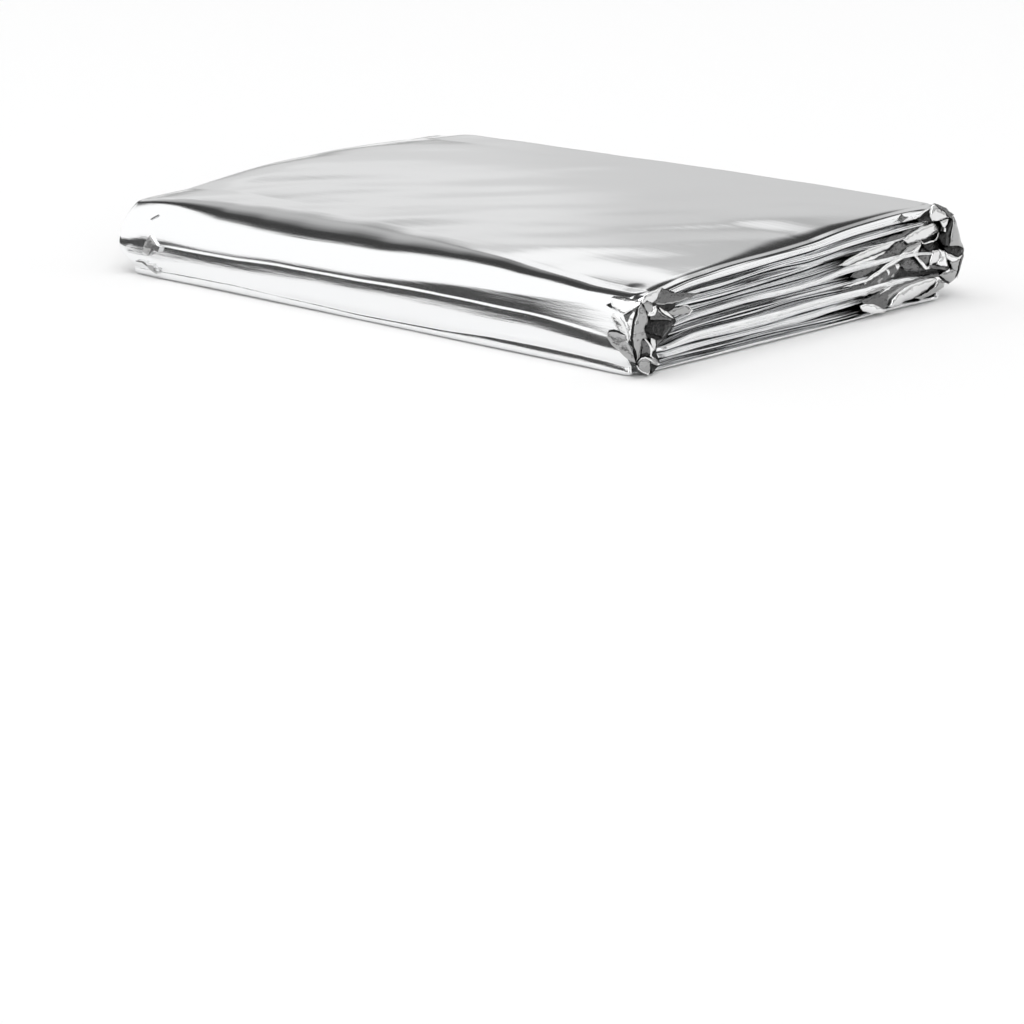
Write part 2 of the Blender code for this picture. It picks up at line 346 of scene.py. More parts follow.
def pack_height(x, y):
    """Height of the top over the floor, without its swells."""
    along = 0.5 + x / LENGTH
    at_spine = blend(HEIGHT.left_spine, HEIGHT.right_spine, along)
    at_back = blend(HEIGHT.left_back, HEIGHT.right_back, along)
    mid_length = 1.0 - (2.0 * x / LENGTH) ** 2
    mid_depth = 1.0 - (2.0 * y / DEPTH) ** 2
    height = blend(at_spine, at_back, 0.5 + y / DEPTH) + mid_length * (BELLY + mid_depth * CROWN)
    height = height + LEFT_CROWN * ease(grown(x, *LEFT_CROWN_ALONG)) * arch(y, *LEFT_CROWN_ARCH)
    height = height - NEAR_SAG * ease(grown(x, *NEAR_SAG_ALONG)) * grown(y, *NEAR_SAG_ACROSS) ** 2
    droop = ease(grown(x, *NEAR_DROOP_ALONG)) * ease(grown(y, *NEAR_DROOP_ACROSS))
    height = height - NEAR_DROOP * droop
    return height + FAR_RISE * ease(grown(x, *FAR_RISE_ALONG)) * ease(arch(y, *FAR_RISE_ARCH))


def bend_field(name, x):
    """One field of SPINE_BENDS at the places x."""
    stations = [bend.x for bend in SPINE_BENDS]
    return np.interp(x / MM, stations, [getattr(bend, name) for bend in SPINE_BENDS])


def spine_profile(x, shares):
    """The spine's outer face, from the floor up: its depth behind the crest and its rise, in metres."""
    under = bend_field("under", x)
    edge = bend_field("edge", x)
    stretches = (
        (bend_field("foot", x) * MM, FOOT_TILTS),
        (bend_field("toe", x) * MM, TOE_TILTS),
        (CREASE_RUN + 0.0 * x, (under, TOE_TILTS[0])),
        (bend_field("belly", x) * MM, (BELLY_START, under)),
        (bend_field("streak", x) * MM, (edge, BELLY_START)),
        (bend_field("face", x) * MM, (FACE_START, edge)),
        (bend_field("shoulder", x) * MM, SHOULDER_TILTS),
        (bend_field("brow", x) * MM, BROW_TILTS),
    )
    run = shares[:, None] * sum(length for length, _ in stretches)
    tilt = FOOT_TILTS[1] + 0.0 * run
    start = 0.0 * x
    for number, (length, (upper, lower)) in enumerate(stretches):
        share = np.clip((run - start) / length, 0.0, 1.0)
        if number == STREAK:
            share = 1.0 - (1.0 - share) ** bend_field("hold", x)
        tilt = tilt + (upper - lower) * share
        start = start + length
    below_streak = sum(length for length, _ in stretches[:STREAK])
    ridge = below_streak + bend_field("ridge", x) * stretches[STREAK][0]
    dip = RIDGE_DIP * ease(grown(x, *RIDGE_STARTS)) * ease(grown(x, *RIDGE_ENDS))
    tilt = tilt - dip * np.exp(-(((run - ridge) / RIDGE_WIDTH) ** 2))
    step = np.diff(run, axis=0)
    middle = np.radians((tilt[:-1] + tilt[1:]) / 2.0)
    back = np.concatenate((0.0 * run[:1], np.cumsum(np.cos(middle) * step, axis=0)))
    rise = np.concatenate((0.0 * run[:1], np.cumsum(np.sin(middle) * step, axis=0)))
    return back - back.min(axis=0), rise


SPINE_SHARES = np.linspace(0.0, 1.0, 121)
DROP_REACH = 9 * MM  # behind the brow, over which the levels sink towards the spine
DROP_SPREAD = 2.4  # over how many shoulders' length


def shoulder_drop(x, y):
    """How far the top has sunk towards the spine at the depth y."""
    back, _ = spine_profile(x, SPINE_SHARES)
    brow_start = back[-1] - DEPTH / 2.0
    turned = math.radians(SHOULDER_TILTS[1] - SHOULDER_TILTS[0])
    inside = np.clip(brow_start - y, 0.0, DROP_REACH)
    return inside ** 2 * turned / (DROP_SPREAD * MM * bend_field("shoulder", x))


# The boundaries between the levels, as shares of the height: some are fuller than others. The film
# between two levels is wavy, so the levels thicken and thin along the open ends.
LEVEL_SHARES = (0.0, 0.10, 0.22, 0.39, 0.50, 0.635, 0.755, 0.87, 1.0)
LEVEL_WAVE = 0.14 * MM
LEVEL_WAVE_PITCH = 52 * MM

# Long soft swells of the top, which run slantwise from the spine's left end to the back: heading in
# degrees, pitch and height in mm. They meander, fade along their length and die out at the sides.
Swell = namedtuple("Swell", "heading pitch height shift")
SWELLS = (
    Swell(heading=-38, pitch=21.0, height=0.075, shift=0.3),
    Swell(heading=-46, pitch=13.3, height=0.048, shift=2.1),
    Swell(heading=-30, pitch=8.9, height=0.020, shift=4.0),
    Swell(heading=-52, pitch=6.1, height=0.006, shift=1.2),
)
Meander = namedtuple("Meander", "aside length")
LONG_MEANDER = Meander(aside=1.9, length=23.0)
SHORT_MEANDER = Meander(aside=1.2, length=11.0)
SWELL_MEAN = 0.45  # share of its height that a swell has in the mean, and the rest comes and goes
SWELL_FADE_PITCH = 61 * MM
SWELL_FADE_WIDTH = 9.0
SWELL_MARGIN = 9 * MM
LEFT_DROOP = 0.55 * MM  # by which the top sinks at its left end
DROOP_REACH = 9 * MM
RIGHT_TILT = 0.15  # of the top at its right end, where it curves down to the fold
RIGHT_REACHES = (1.4 * MM, 4.6 * MM)  # of that curve, at its narrowest and at its widest
RIGHT_WIDEST = -1.0  # mm, the depth y at which it is widest
RIGHT_NARROWS = 20.0  # mm, over which it gets narrow to both sides


def left_droop(x):
    """How far the top has sunk towards its left end."""
    return LEFT_DROOP * np.clip(1.0 - (x + LENGTH / 2.0) / DROOP_REACH, 0.0, 1.0) ** 2


def top_swell(x, y):
    """What the swells and the curves at the two ends add to the height of the top."""
    total_swell = 0.0 * (x + y)
    for swell in SWELLS:
        heading = math.radians(swell.heading)
        across = math.sin(heading) * x + math.cos(heading) * y
        along = math.cos(heading) * x - math.sin(heading) * y
        bent = across / MM + LONG_MEANDER.aside * np.sin(along / MM / LONG_MEANDER.length + swell.shift)
        bent = bent + SHORT_MEANDER.aside * np.sin(y / MM / SHORT_MEANDER.length + swell.pitch)
        fading = waver(along, SWELL_FADE_PITCH, swell.shift)
        fading = fading * np.sin(across / MM / SWELL_FADE_WIDTH + 2.0 * swell.shift)
        height = swell.height * MM * (SWELL_MEAN + (1.0 - SWELL_MEAN) * fading)
        total_swell = total_swell + height * np.sin(2.0 * np.pi * bent / swell.pitch + swell.shift)
    total_swell = total_swell * ease((DEPTH / 2.0 - np.abs(y)) / SWELL_MARGIN)
    reach = blend(*RIGHT_REACHES, ease(1.0 - np.abs(y / MM - RIGHT_WIDEST) / RIGHT_NARROWS))
    right = np.clip(1.0 - (LENGTH / 2.0 - FAT_REACH - x) / reach, 0.0, 1.0) ** 2
    return total_swell - left_droop(x) - RIGHT_TILT * reach / 2.0 * right


def level_floor(level, x, y):
    """Height of the boundary under a level, up to the boundary over the top one."""
    if level == 0:
        return 0.0 * (x + y)
    if level == LEVELS:
        return pack_height(x, y) + top_swell(x, y)
    wave = LEVEL_WAVE * waver(y, LEVEL_WAVE_PITCH, seed=level + 0.7)
    wave = wave * ease((DEPTH / 2.0 - np.abs(y)) / EASE_LENGTH)
    return (pack_height(x, y) - left_droop(x) - shoulder_drop(x, y)) * LEVEL_SHARES[level] + wave


def face_height(a_pass, x, y):
    """Height of the outer face of a level's plies: the upper one where the path goes to the back."""
    lower = level_floor(a_pass.level, x, y)
    upper = level_floor(a_pass.level + 1, x, y)
    if a_pass.level == 0:
        return lower
    if a_pass.level == LEVELS - 1:
        return upper
    return blend(lower, upper, 1.0 - SLOT_GAP if a_pass.rising else SLOT_GAP)


def level_thick(a_pass, x, y):
    """Thickness of a level's plies together."""
    lower = level_floor(a_pass.level, x, y)
    upper = level_floor(a_pass.level + 1, x, y)
    return (1.0 - 2.0 * SLOT_GAP) * (upper - lower)


def layer_ends(a_pass, y):
    """Where a level's plies end at the left and at the right."""
    waves = a_pass.wave * MM * np.sin(2.0 * np.pi * y / WAVE_PITCH + WAVE_SHIFT * a_pass.level)
    from_side = DEPTH / 2.0 - np.abs(y)
    at_spine = ease((POCKET_STARTS[0] - from_side) / (POCKET_STARTS[0] - POCKET_ENDS[0]))
    at_back = ease((POCKET_STARTS[1] - from_side) / (POCKET_STARTS[1] - POCKET_ENDS[1]))
    pocket = MM * np.where(y < 0.0, at_spine * a_pass.spine_pocket, at_back * a_pass.back_pocket)
    left = -LENGTH / 2.0 + SKEW * (0.5 - y / DEPTH) - a_pass.left * MM - waves
    right = LENGTH / 2.0 + a_pass.right * MM + waves - pocket
    return left, right


def turn_shape(index, x):
    """Where a turn starts, how deep it is and how square."""
    turn, before, after = TURNS[index], PASSES[index], PASSES[index + 1]
    along = 0.5 + x / LENGTH
    side = turn.side
    depth = blend(side.depth_left, side.depth_right, along)
    nominal_y = side.direction * (DEPTH / 2.0 - depth)
    half_height = np.abs(face_height(after, x, nominal_y) - face_height(before, x, nominal_y)) / 2.0
    if turn.setback:
        depth = np.minimum(depth - turn.setback, DEEPEST * half_height)
    start_y = side.direction * (DEPTH / 2.0 - turn.setback - depth)
    return start_y, depth, blend(side.square_left, side.square_right, along)


def turn_ends(index, x):
    """The depths y at which the pass before a turn ends and the pass after it starts."""
    if index == OUTER_SPINE:
        back, _ = spine_profile(x, SPINE_SHARES)
        return back[0] - DEPTH / 2.0, back[-1] - DEPTH / 2.0
    start_y = turn_shape(index, x)[0]
    return start_y, start_y


# The rows of a stretch of the path: arrays of shape (rows, columns), and mileage, the way along
# the path, of shape (rows, 1)
Rows = namedtuple("Rows", "y z left right thick fat mileage")
Stretch = namedtuple("Stretch", "kind index start end steps")


def pass_rows(stretch, x):
    a_pass = PASSES[stretch.index]
    share = crowded(np.linspace(0.0, 1.0, stretch.steps + 1), PASS_CROWDING)
    share = blend(stretch.start, stretch.end, share)[:, None]
    first = turn_ends(OUTER_SPINE, x)[0] if stretch.index == 0 else turn_ends(stretch.index - 1, x)[1]
    if stretch.index == len(PASSES) - 1:
        last = turn_ends(len(TURNS) - 2, x)[0] + LAST_END
    else:
        last = turn_ends(stretch.index, x)[0]
    y = blend(first, last, share) + 0.0 * x
    from_turn = PASS_LENGTH * np.minimum(share, 1.0 - share)
    thick = blend(TURN_THICK, level_thick(a_pass, x, y), ease(from_turn / EASE_LENGTH))
    left, right = layer_ends(a_pass, y)
    mileage = stretch.index * (PASS_LENGTH + TURN_LENGTH) + share * PASS_LENGTH
    return Rows(y, face_height(a_pass, x, y), left, right, thick, a_pass.fat + 0.0 * share, mileage)


def turn_rows(stretch, x):
    before, after = PASSES[stretch.index], PASSES[stretch.index + 1]
    side = TURNS[stretch.index].side
    share = blend(stretch.start, stretch.end, np.linspace(0.0, 1.0, stretch.steps + 1))[:, None]
    if stretch.index == OUTER_SPINE:
        back, rise = spine_profile(x, share[:, 0])
        y = back - DEPTH / 2.0
        z = blend(face_height(before, x, y[0]), face_height(after, x, y[-1]), rise / rise[-1])
    else:
        start_y, depth, square = turn_shape(stretch.index, x)
        angle = np.pi * (share - 0.5)
        rise = np.sign(angle) * np.abs(np.sin(angle)) ** (2.0 / square)
        y = start_y + side.direction * depth * np.maximum(np.cos(angle), 0.0) ** (2.0 / square)
        z = blend(face_height(before, x, start_y), face_height(after, x, start_y), 0.5 + rise / 2.0)
    first_left, first_right = layer_ends(before, y)
    last_left, last_right = layer_ends(after, y)
    left = blend(first_left, last_left, share)
    right = blend(first_right, last_right, share)
    mileage = stretch.index * (PASS_LENGTH + TURN_LENGTH) + PASS_LENGTH + share * TURN_LENGTH
    fat = blend(before.fat, after.fat, ease(share))
    return Rows(y, z, left, right, TURN_THICK + 0.0 * y, fat, mileage)


def path_rows(stretches, x):
    """The stretches one after another. The row that two of them share is kept once."""
    made = []
    for stretch in stretches:
        rows = pass_rows(stretch, x) if stretch.kind == "pass" else turn_rows(stretch, x)
        if made:
            rows = Rows(*(field[1:] for field in rows))
        made.append(rows)
    return Rows(*(np.concatenate(fields) for fields in zip(*made)))


# Across the pack the film runs to and fro: plies are counted from the outer face inwards. The
# right ends join plies 0-1, 2-3 and 4-5, and the left ends 1-2 and 3-4. ply is the place in that
# count, share the place from the left end to the right, and bow how far a fold bulges past them.
Column = namedtuple("Column", "share ply bow")
PLIES = 6
LEFT_PLACES = (0.0, 0.22, 0.48, 0.53, 0.80, 1.0)  # of the plies, as shares of the thickness
FAT_PLACES = (0.0, 0.97, 1.0, 1.0, 1.0, 1.0)  # at the right, as shares of the fat fold's part
THIN_PLACES = (0.0, 0.0, 0.02, 0.50, 0.52, 1.0)  # and of what the thin folds share
WANDERING = (0, 0, 0, 1, 1, 0)  # which plies wander between them
FOLD_STEPS = 14
FACE_STEPS = 28
FAT_REACH = 1.3 * MM  # how far the outermost fold bulges at the right
THIN_REACH = 0.55 * MM  # how far every other fold bulges
FLUTES = 7.0  # small ridges along the folds, over the whole bundle
FLUTE = 0.07  # their height, as a share of the fold's reach
TUCK = 0.42  # how far below the outer ply its tucked edge lies, in plies
TUCK_WIDTH = 0.06  # how wide it is, as a share of the length
TUCK_COLUMNS = 6
FINE_CROWDING = 0.55  # how strongly a ply's columns crowd towards the ends: the outer ply's
COARSE_CROWDING = 0.9  # and the others'


def ply_shares(steps, amount):
    """The places of a ply's columns, crowded twice towards its two ends."""
    return crowded(crowded(np.linspace(0.0, 1.0, steps + 1), amount), amount)


# A fold at the right is sharp at its outer edge, and its face slants: the tilt of the film there,
# in degrees, against the share of the way round the fold.
FACE_FOLD = ((0.0, 0.0), (0.07, 26.0), (0.62, 74.0), (0.80, 115.0), (1.0, 180.0))
FACE_FOLD_PARTS = 200  # into which the way round it is cut to add it up


def face_fold_columns(start_ply, end_ply):
    """The outermost fold at the right, without its two ends."""
    share = np.linspace(0.0, 1.0, FACE_FOLD_PARTS + 1)
    tilt = np.radians(np.interp(share, *zip(*FACE_FOLD)))
    outward = np.cumsum(np.cos(tilt))
    down = np.cumsum(np.sin(tilt))
    columns = []
    for turn in range(1, FACE_STEPS):
        place = round(FACE_FOLD_PARTS * turn / FACE_STEPS)
        ply = blend(start_ply, end_ply, down[place] / down[-1])
        columns.append(Column(1.0, ply, outward[place] / outward.max()))
    return columns


def fold_columns(start_ply, end_ply, step):
    """A fold at one end of the pack, without its two ends. step is 1 at the right, -1 at the left."""
    if step > 0 and start_ply == 0:
        return face_fold_columns(start_ply, end_ply)
    columns = []
    for turn in range(1, FOLD_STEPS):
        angle = math.pi * (turn / FOLD_STEPS - 0.5)
        ply = blend(start_ply, end_ply, 0.5 + 0.5 * math.sin(angle))
        columns.append(Column(0.5 + 0.5 * step, ply, step * math.cos(angle)))
    return columns


def film_columns(plies, fine_steps, coarse_steps, tuck_first=False, tuck_last=False):
    """The way across the pack and back, through the given plies. Each end may be tucked under."""
    columns = []
    if tuck_first:
        for share in np.linspace(TUCK_WIDTH, 0.0, TUCK_COLUMNS):
            columns.append(Column(float(share), plies[0] + TUCK, 0.0))
        columns += fold_columns(plies[0] + TUCK, plies[0], -1)
    for ply in plies:
        steps = fine_steps if ply == plies[0] else coarse_steps
        shares = ply_shares(steps, FINE_CROWDING if ply == plies[0] else COARSE_CROWDING)
        if ply % 2:
            shares = shares[::-1]
        columns += [Column(float(share), float(ply), 0.0) for share in shares]
        if ply != plies[-1]:
            columns += fold_columns(ply, ply + 1, -1 if ply % 2 else 1)
    if tuck_last:
        columns += fold_columns(plies[-1], plies[-1] - TUCK, -1)
        for share in np.linspace(0.0, TUCK_WIDTH, TUCK_COLUMNS):
            columns.append(Column(float(share), plies[-1] - TUCK, 0.0))
    return Column(*(np.array(field) for field in zip(*columns)))


# Places where the corners are pushed in or stand out: centre, reach and push, in mm
Dent = namedtuple("Dent", "x y z reach push_x push_y push_z")
DENTS = (
    # the right end of the spine
    Dent(x=60, y=-40, z=12.0, reach=5.0, push_x=-1.0, push_y=0.0, push_z=0.0),
    Dent(x=60, y=-42, z=7.0, reach=5.5, push_x=-1.1, push_y=0.0, push_z=0.0),
    Dent(x=60, y=-41, z=2.5, reach=5.0, push_x=-0.9, push_y=0.0, push_z=0.0),
    # the near corner of the top
    Dent(x=54.5, y=-35.5, z=12.5, reach=2.2, push_x=0.0, push_y=0.0, push_z=-0.07),
    # the left end of the spine
    Dent(x=-59, y=-39, z=10.5, reach=8.0, push_x=-0.6, push_y=0.3, push_z=-0.2),
    Dent(x=-60, y=-41, z=6.5, reach=7.2, push_x=-0.3, push_y=-0.5, push_z=0.0),
    Dent(x=-59, y=-41, z=0.5, reach=4.6, push_x=4.2, push_y=1.4, push_z=0.0),
    # the right end of the back
    Dent(x=61, y=38, z=15.0, reach=8.0, push_x=-2.4, push_y=0.0, push_z=0.0),
    Dent(x=61, y=41, z=9.0, reach=8.0, push_x=-2.4, push_y=-0.4, push_z=0.0),
    Dent(x=61, y=40, z=3.0, reach=7.0, push_x=-1.6, push_y=-0.6, push_z=0.0),
    # the left end of the back
    Dent(x=-60, y=40, z=12.0, reach=12.0, push_x=1.2, push_y=-1.0, push_z=-0.6),
)
NO_LIFT_BELOW = 3 * MM  # a push up or down fades out over this height above the floor

# Crumple: every corner of a lattice of tetrahedra is pushed its own way, and the film in between
# stays flat, which gives facets with sharp creases. Pitches and pushes are in mm.
FACET_PITCH = 4.6
FACET_PUSH = 0.62
SMALL_PITCH = 1.9
SMALL_PUSH = 0.20

# What mixes a corner's place into three numbers that look random
CORNER_MIX = ((12.9898, 39.346, 73.156), (78.233, 11.135, 52.235), (37.719, 83.155, 9.151))
CORNER_SHIFT = 0.37
CORNER_SCALE = 43758.5453


def hashed(corners):
    """Three numbers between -1 and 1 for each lattice corner, always the same ones."""
    mixed = np.sin(corners @ np.array(CORNER_MIX) + CORNER_SHIFT)
    return 2.0 * np.modf(np.abs(mixed * CORNER_SCALE))[0] - 1.0


def facets(points, pitch):
    """The push at each point, as a share of the full one."""
    place = points / (MM * pitch)
    place = place + place.sum(-1, keepdims=True) / 3.0
    corner = np.floor(place)
    inside = place - corner
    order = np.argsort(-inside, axis=-1)
    ranked = np.take_along_axis(inside, order, axis=-1)
    push = (1.0 - ranked[..., :1]) * hashed(corner)
    for step in range(3):
        corner = corner + np.eye(3)[order[..., step]]
        lower = ranked[..., step + 1 : step + 2] if step < 2 else 0.0
        push = push + (ranked[..., step : step + 1] - lower) * hashed(corner)
    return push


def near(points, x, y, z, reach):
    """1 at the place, falling to 0 at its reach. All in mm."""
    away = points / MM - np.array((x, y, z))
    return ease(1.0 - np.sqrt((away ** 2).sum(-1)) / reach)


# Where the film is crumpled: centre and reach in mm, and how much
Crumpled = namedtuple("Crumpled", "x y z reach amount")
CRUMPLED = (
    Crumpled(61, 41, 10, 9, 0.5),
    Crumpled(61, 33, 9, 7, 0.4),
    Crumpled(61, 20, 7, 7, 0.2),
    Crumpled(60, 16, 2.5, 5, 0.9),
    Crumpled(-61, -40, 6, 12, 0.25),
    Crumpled(-61, 41, 9, 13, 1.3),
)


def pushed(points):
    """The points after the dents and the crumple. Nothing near the underside is lifted."""
    moved = points.copy()
    for dent in DENTS:
        share = near(points, dent.x, dent.y, dent.z, dent.reach)
        moved += share[..., None] * MM * np.array((dent.push_x, dent.push_y, dent.push_z))
    amount = sum(spot.amount * near(points, spot.x, spot.y, spot.z, spot.reach) for spot in CRUMPLED)
    crumple = FACET_PUSH * facets(points, FACET_PITCH) + SMALL_PUSH * facets(points, SMALL_PITCH)
    moved += amount[..., None] * MM * crumple
    held = ease(points[..., 2] / NO_LIFT_BELOW)
    moved[..., 2] = np.maximum(blend(points[..., 2], moved[..., 2], held), 0.0)
    return moved


# How the folds wander along the path: by how much and over what length
FAT_WANDER = 0.05  # of the outermost fold's share
FAT_WANDER_PITCH = 83 * MM
SECOND_WANDER = 0.16  # of the place of the plies between the thin folds
SECOND_WANDER_PITCH = 57 * MM
RIGHT_WANDERS = (0.15 * MM, 0.45 * MM)  # of the outermost fold at the right, and of the others
RIGHT_WANDER_PITCH = 61 * MM
THIN_SETBACK = 1.1 * MM  # how far behind the outermost fold the others end
LEFT_WANDER = 0.35 * MM
LEFT_WANDER_PITCH = 67 * MM
FLUTE_WANDER = 0.35
FLUTE_WANDER_PITCH = 47 * MM
TINY = 1e-12  # keeps the outward direction defined where two rows coincide
ROUNDING = 1e-6  # keeps a whole ply from being counted as the one before it


def folded_film(columns, stretches):
    """Places of a stretch of the film, an array of shape (rows, columns, 3)."""
    nominal_x = LENGTH * (columns.share - 0.5)
    rows = path_rows(stretches, nominal_x)
    along_y = np.gradient(rows.y, axis=0)
    along_z = np.gradient(rows.z, axis=0)
    size = np.sqrt(along_y ** 2 + along_z ** 2) + TINY
    out_y = -along_z / size
    out_z = along_y / size
    left_place = np.interp(columns.ply, range(PLIES), LEFT_PLACES)
    # At the right the outer two plies make a fat lobe, and the other four share what is left of
    # the thickness.
    thin_share = np.interp(columns.ply, range(PLIES), THIN_PLACES)
    fat_share = np.interp(columns.ply, range(PLIES), FAT_PLACES)
    second = np.interp(columns.ply, range(PLIES), WANDERING)
    fat = rows.fat + FAT_WANDER * waver(rows.mileage, FAT_WANDER_PITCH, seed=3.0)
    thin_share = thin_share + SECOND_WANDER * second * waver(rows.mileage, SECOND_WANDER_PITCH, seed=8.0)
    right_place = fat * fat_share + (1.0 - fat) * thin_share
    place = blend(left_place, right_place, columns.share)
    inward = place * rows.thick
    right_fold = np.floor(columns.ply / 2.0 + ROUNDING)
    left_fold = np.floor((columns.ply + 1.0) / 2.0 + ROUNDING)
    thin = np.minimum(right_fold, 1.0)
    right_shift = blend(*RIGHT_WANDERS, thin) * waver(rows.mileage, RIGHT_WANDER_PITCH, seed=right_fold)
    right_shift = right_shift - THIN_SETBACK * thin
    left_shift = LEFT_WANDER * waver(rows.mileage, LEFT_WANDER_PITCH, seed=left_fold + 4.0)
    reach = blend(FAT_REACH, THIN_REACH, thin)
    left = rows.left + THIN_REACH + left_shift
    right = rows.right - FAT_REACH + right_shift
    reach = blend(THIN_REACH, reach, columns.share)
    drift = FLUTE_WANDER * waver(rows.mileage, FLUTE_WANDER_PITCH, seed=right_fold + 2.0)
    flute = 1.0 + FLUTE * np.sin(2.0 * np.pi * (FLUTES * place + drift)) * np.abs(columns.bow)
    x = blend(left, right, columns.share) + reach * flute * columns.bow
    points = np.stack((x, rows.y - inward * out_y, rows.z - inward * out_z), axis=-1)
    return pushed(points)


def film_object(name, points):
    """A flat grid with its vertices laid at the given places."""
    row_steps = points.shape[0] - 1
    column_steps = points.shape[1] - 1
    bm = bmesh.new()
    bmesh.ops.create_grid(bm, x_segments=column_steps, y_segments=row_steps, size=0.5)
    mesh = bpy.data.meshes.new(name)
    bm.to_mesh(mesh)
    bm.free()
    flat = np.empty(len(mesh.vertices) * 3, np.float32)
    mesh.vertices.foreach_get("co", flat)
    flat = flat.reshape(-1, 3)
    column = np.rint((flat[:, 0] + 0.5) * column_steps).astype(int)
    row = np.rint((flat[:, 1] + 0.5) * row_steps).astype(int)
    mesh.vertices.foreach_set("co", points[row, column].astype(np.float32).ravel())
    mesh.update()
    mesh.shade_smooth()
    film = bpy.data.objects.new(name, mesh)
    bpy.context.scene.collection.objects.link(film)
    return film


FILM_SILVER = (0.91, 0.915, 0.92, 1.0)
FILM_ROUGHNESS = 0.12
WRINKLE_DEPTH = 0.012 * MM

film_finish = bpy.data.materials.new("metallised_film")
film_finish.use_nodes = True
film_shader = film_finish.node_tree.nodes["Principled BSDF"]
film_shader.inputs["Base Color"].default_value = FILM_SILVER
film_shader.inputs["Metallic"].default_value = 1.0
film_shader.inputs["Roughness"].default_value = FILM_ROUGHNESS

wrinkles = bpy.data.node_groups.new("film_wrinkles", "ShaderNodeTree")
wrinkles.interface.new_socket("Depth", in_out="INPUT", socket_type="NodeSocketFloat")
wrinkles.interface.new_socket("Crinkle", in_out="INPUT", socket_type="NodeSocketFloat")
wrinkles.interface.new_socket("Normal", in_out="OUTPUT", socket_type="NodeSocketVector")
wrinkles_in = wrinkles.nodes.new("NodeGroupInput")
wrinkles_out = wrinkles.nodes.new("NodeGroupOutput")
place = wrinkles.nodes.new("ShaderNodeTexCoord").outputs["Object"]


def stretched_noise(run_x, run_y, run_z, detail):
    """Noise with the given number of waves a metre along each axis."""
    scaled = wrinkles.nodes.new("ShaderNodeVectorMath")
    scaled.operation = "MULTIPLY"
    scaled.inputs[1].default_value = (run_x, run_y, run_z)
    wrinkles.links.new(place, scaled.inputs[0])
    noise = wrinkles.nodes.new("ShaderNodeTexNoise")
    noise.inputs["Scale"].default_value = 1.0
    noise.inputs["Detail"].default_value = detail
    wrinkles.links.new(scaled.outputs["Vector"], noise.inputs["Vector"])
    return noise.outputs["Fac"]


# The wrinkles' waves a metre along X, Y and Z, and their detail: long ones over the pack, fine lines
# along the folds at its two ends, the finest grain, and the crinkle of crushed film. The group's
# Depth is their height, in metres, and Crinkle the height of the crinkle against the wrinkles.
Waves = namedtuple("Waves", "run_x run_y run_z detail")
LONG_WRINKLES = Waves(45.0, 900.0, 900.0, 3.0)
FOLD_LINES = Waves(1300.0, 70.0, 1300.0, 2.0)
GRAIN = Waves(4300.0, 5200.0, 5200.0, 2.0)
CRINKLES = Waves(1500.0, 1500.0, 1500.0, 4.0)
FOLDS_FROM = (0.0555, 0.0585)  # the distance from the middle at which the fine lines take over
SPINE_SIDE = (-0.034, -0.039)  # the depth y at which the film gets more creased
END_LINES = 0.5  # height of the fine lines along the ends of the folds, against the wrinkles
GRAIN_SHARE = 0.2  # height of the finest grain, against the wrinkles
SPINE_CREASES = 2.0  # depth of the wrinkles on the spine, against those of the top

place_parts = wrinkles.nodes.new("ShaderNodeSeparateXYZ")
wrinkles.links.new(place, place_parts.inputs["Vector"])
from_middle = math_node(wrinkles, "ABSOLUTE", place_parts.outputs["X"])
at_end = step_node(wrinkles, from_middle, *FOLDS_FROM)
end_lines = math_node(wrinkles, "MULTIPLY", stretched_noise(*FOLD_LINES), END_LINES)
chosen = wrinkles.nodes.new("ShaderNodeMix")
wrinkles.links.new(at_end, chosen.inputs["Factor"])
wrinkles.links.new(stretched_noise(*LONG_WRINKLES), chosen.inputs["A"])
wrinkles.links.new(end_lines, chosen.inputs["B"])
grain = stretched_noise(*GRAIN)
grained = math_node(wrinkles, "MULTIPLY_ADD", grain, GRAIN_SHARE, chosen.outputs["Result"])
crinkle = stretched_noise(*CRINKLES)
crinkled = math_node(wrinkles, "MULTIPLY_ADD", crinkle, wrinkles_in.outputs["Crinkle"], grained)
on_spine_side = step_node(wrinkles, place_parts.outputs["Y"], *SPINE_SIDE, low=1.0, high=SPINE_CREASES)
creased = math_node(wrinkles, "MULTIPLY", crinkled, on_spine_side)
bump = wrinkles.nodes.new("ShaderNodeBump")
wrinkles.links.new(creased, bump.inputs["Height"])
wrinkles.links.new(wrinkles_in.outputs["Depth"], bump.inputs["Distance"])
wrinkles.links.new(bump.outputs["Normal"], wrinkles_out.inputs["Normal"])

film_wrinkles = film_finish.node_tree.nodes.new("ShaderNodeGroup")
film_wrinkles.node_tree = wrinkles
film_wrinkles.inputs["Depth"].default_value = WRINKLE_DEPTH
film_finish.node_tree.links.new(film_wrinkles.outputs["Normal"], film_shader.inputs["Normal"])

OUTER_PATH = (
    Stretch("pass", 1, 0.5, 1.0, 36),
    Stretch("turn", 1, 0.0, 1.0, 190),
    Stretch("pass", 2, 0.0, 1.0, 120),
    Stretch("turn", 2, 0.0, 1.0, 64),
    Stretch("pass", 3, 0.0, 0.33, 36),
)
outer_columns = film_columns((0, 1), fine_steps=150, coarse_steps=12, tuck_first=True)
outer_points = folded_film(outer_columns, OUTER_PATH)
outer_film = film_object("outer_film", outer_points)
outer_film.data.materials.append(film_finish)
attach(outer_film, "root")
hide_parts("foil_blanket")

# ---------------------------------------------------------------------------------------------
# The foot film: the outermost two plies of the bundle's first end. It runs to the back on the second
# level, turns down there, which makes the lobe at the foot, and comes back on the floor as far as
# the middle, where the outer film carries it on. The same metallised film, of the same sheet.

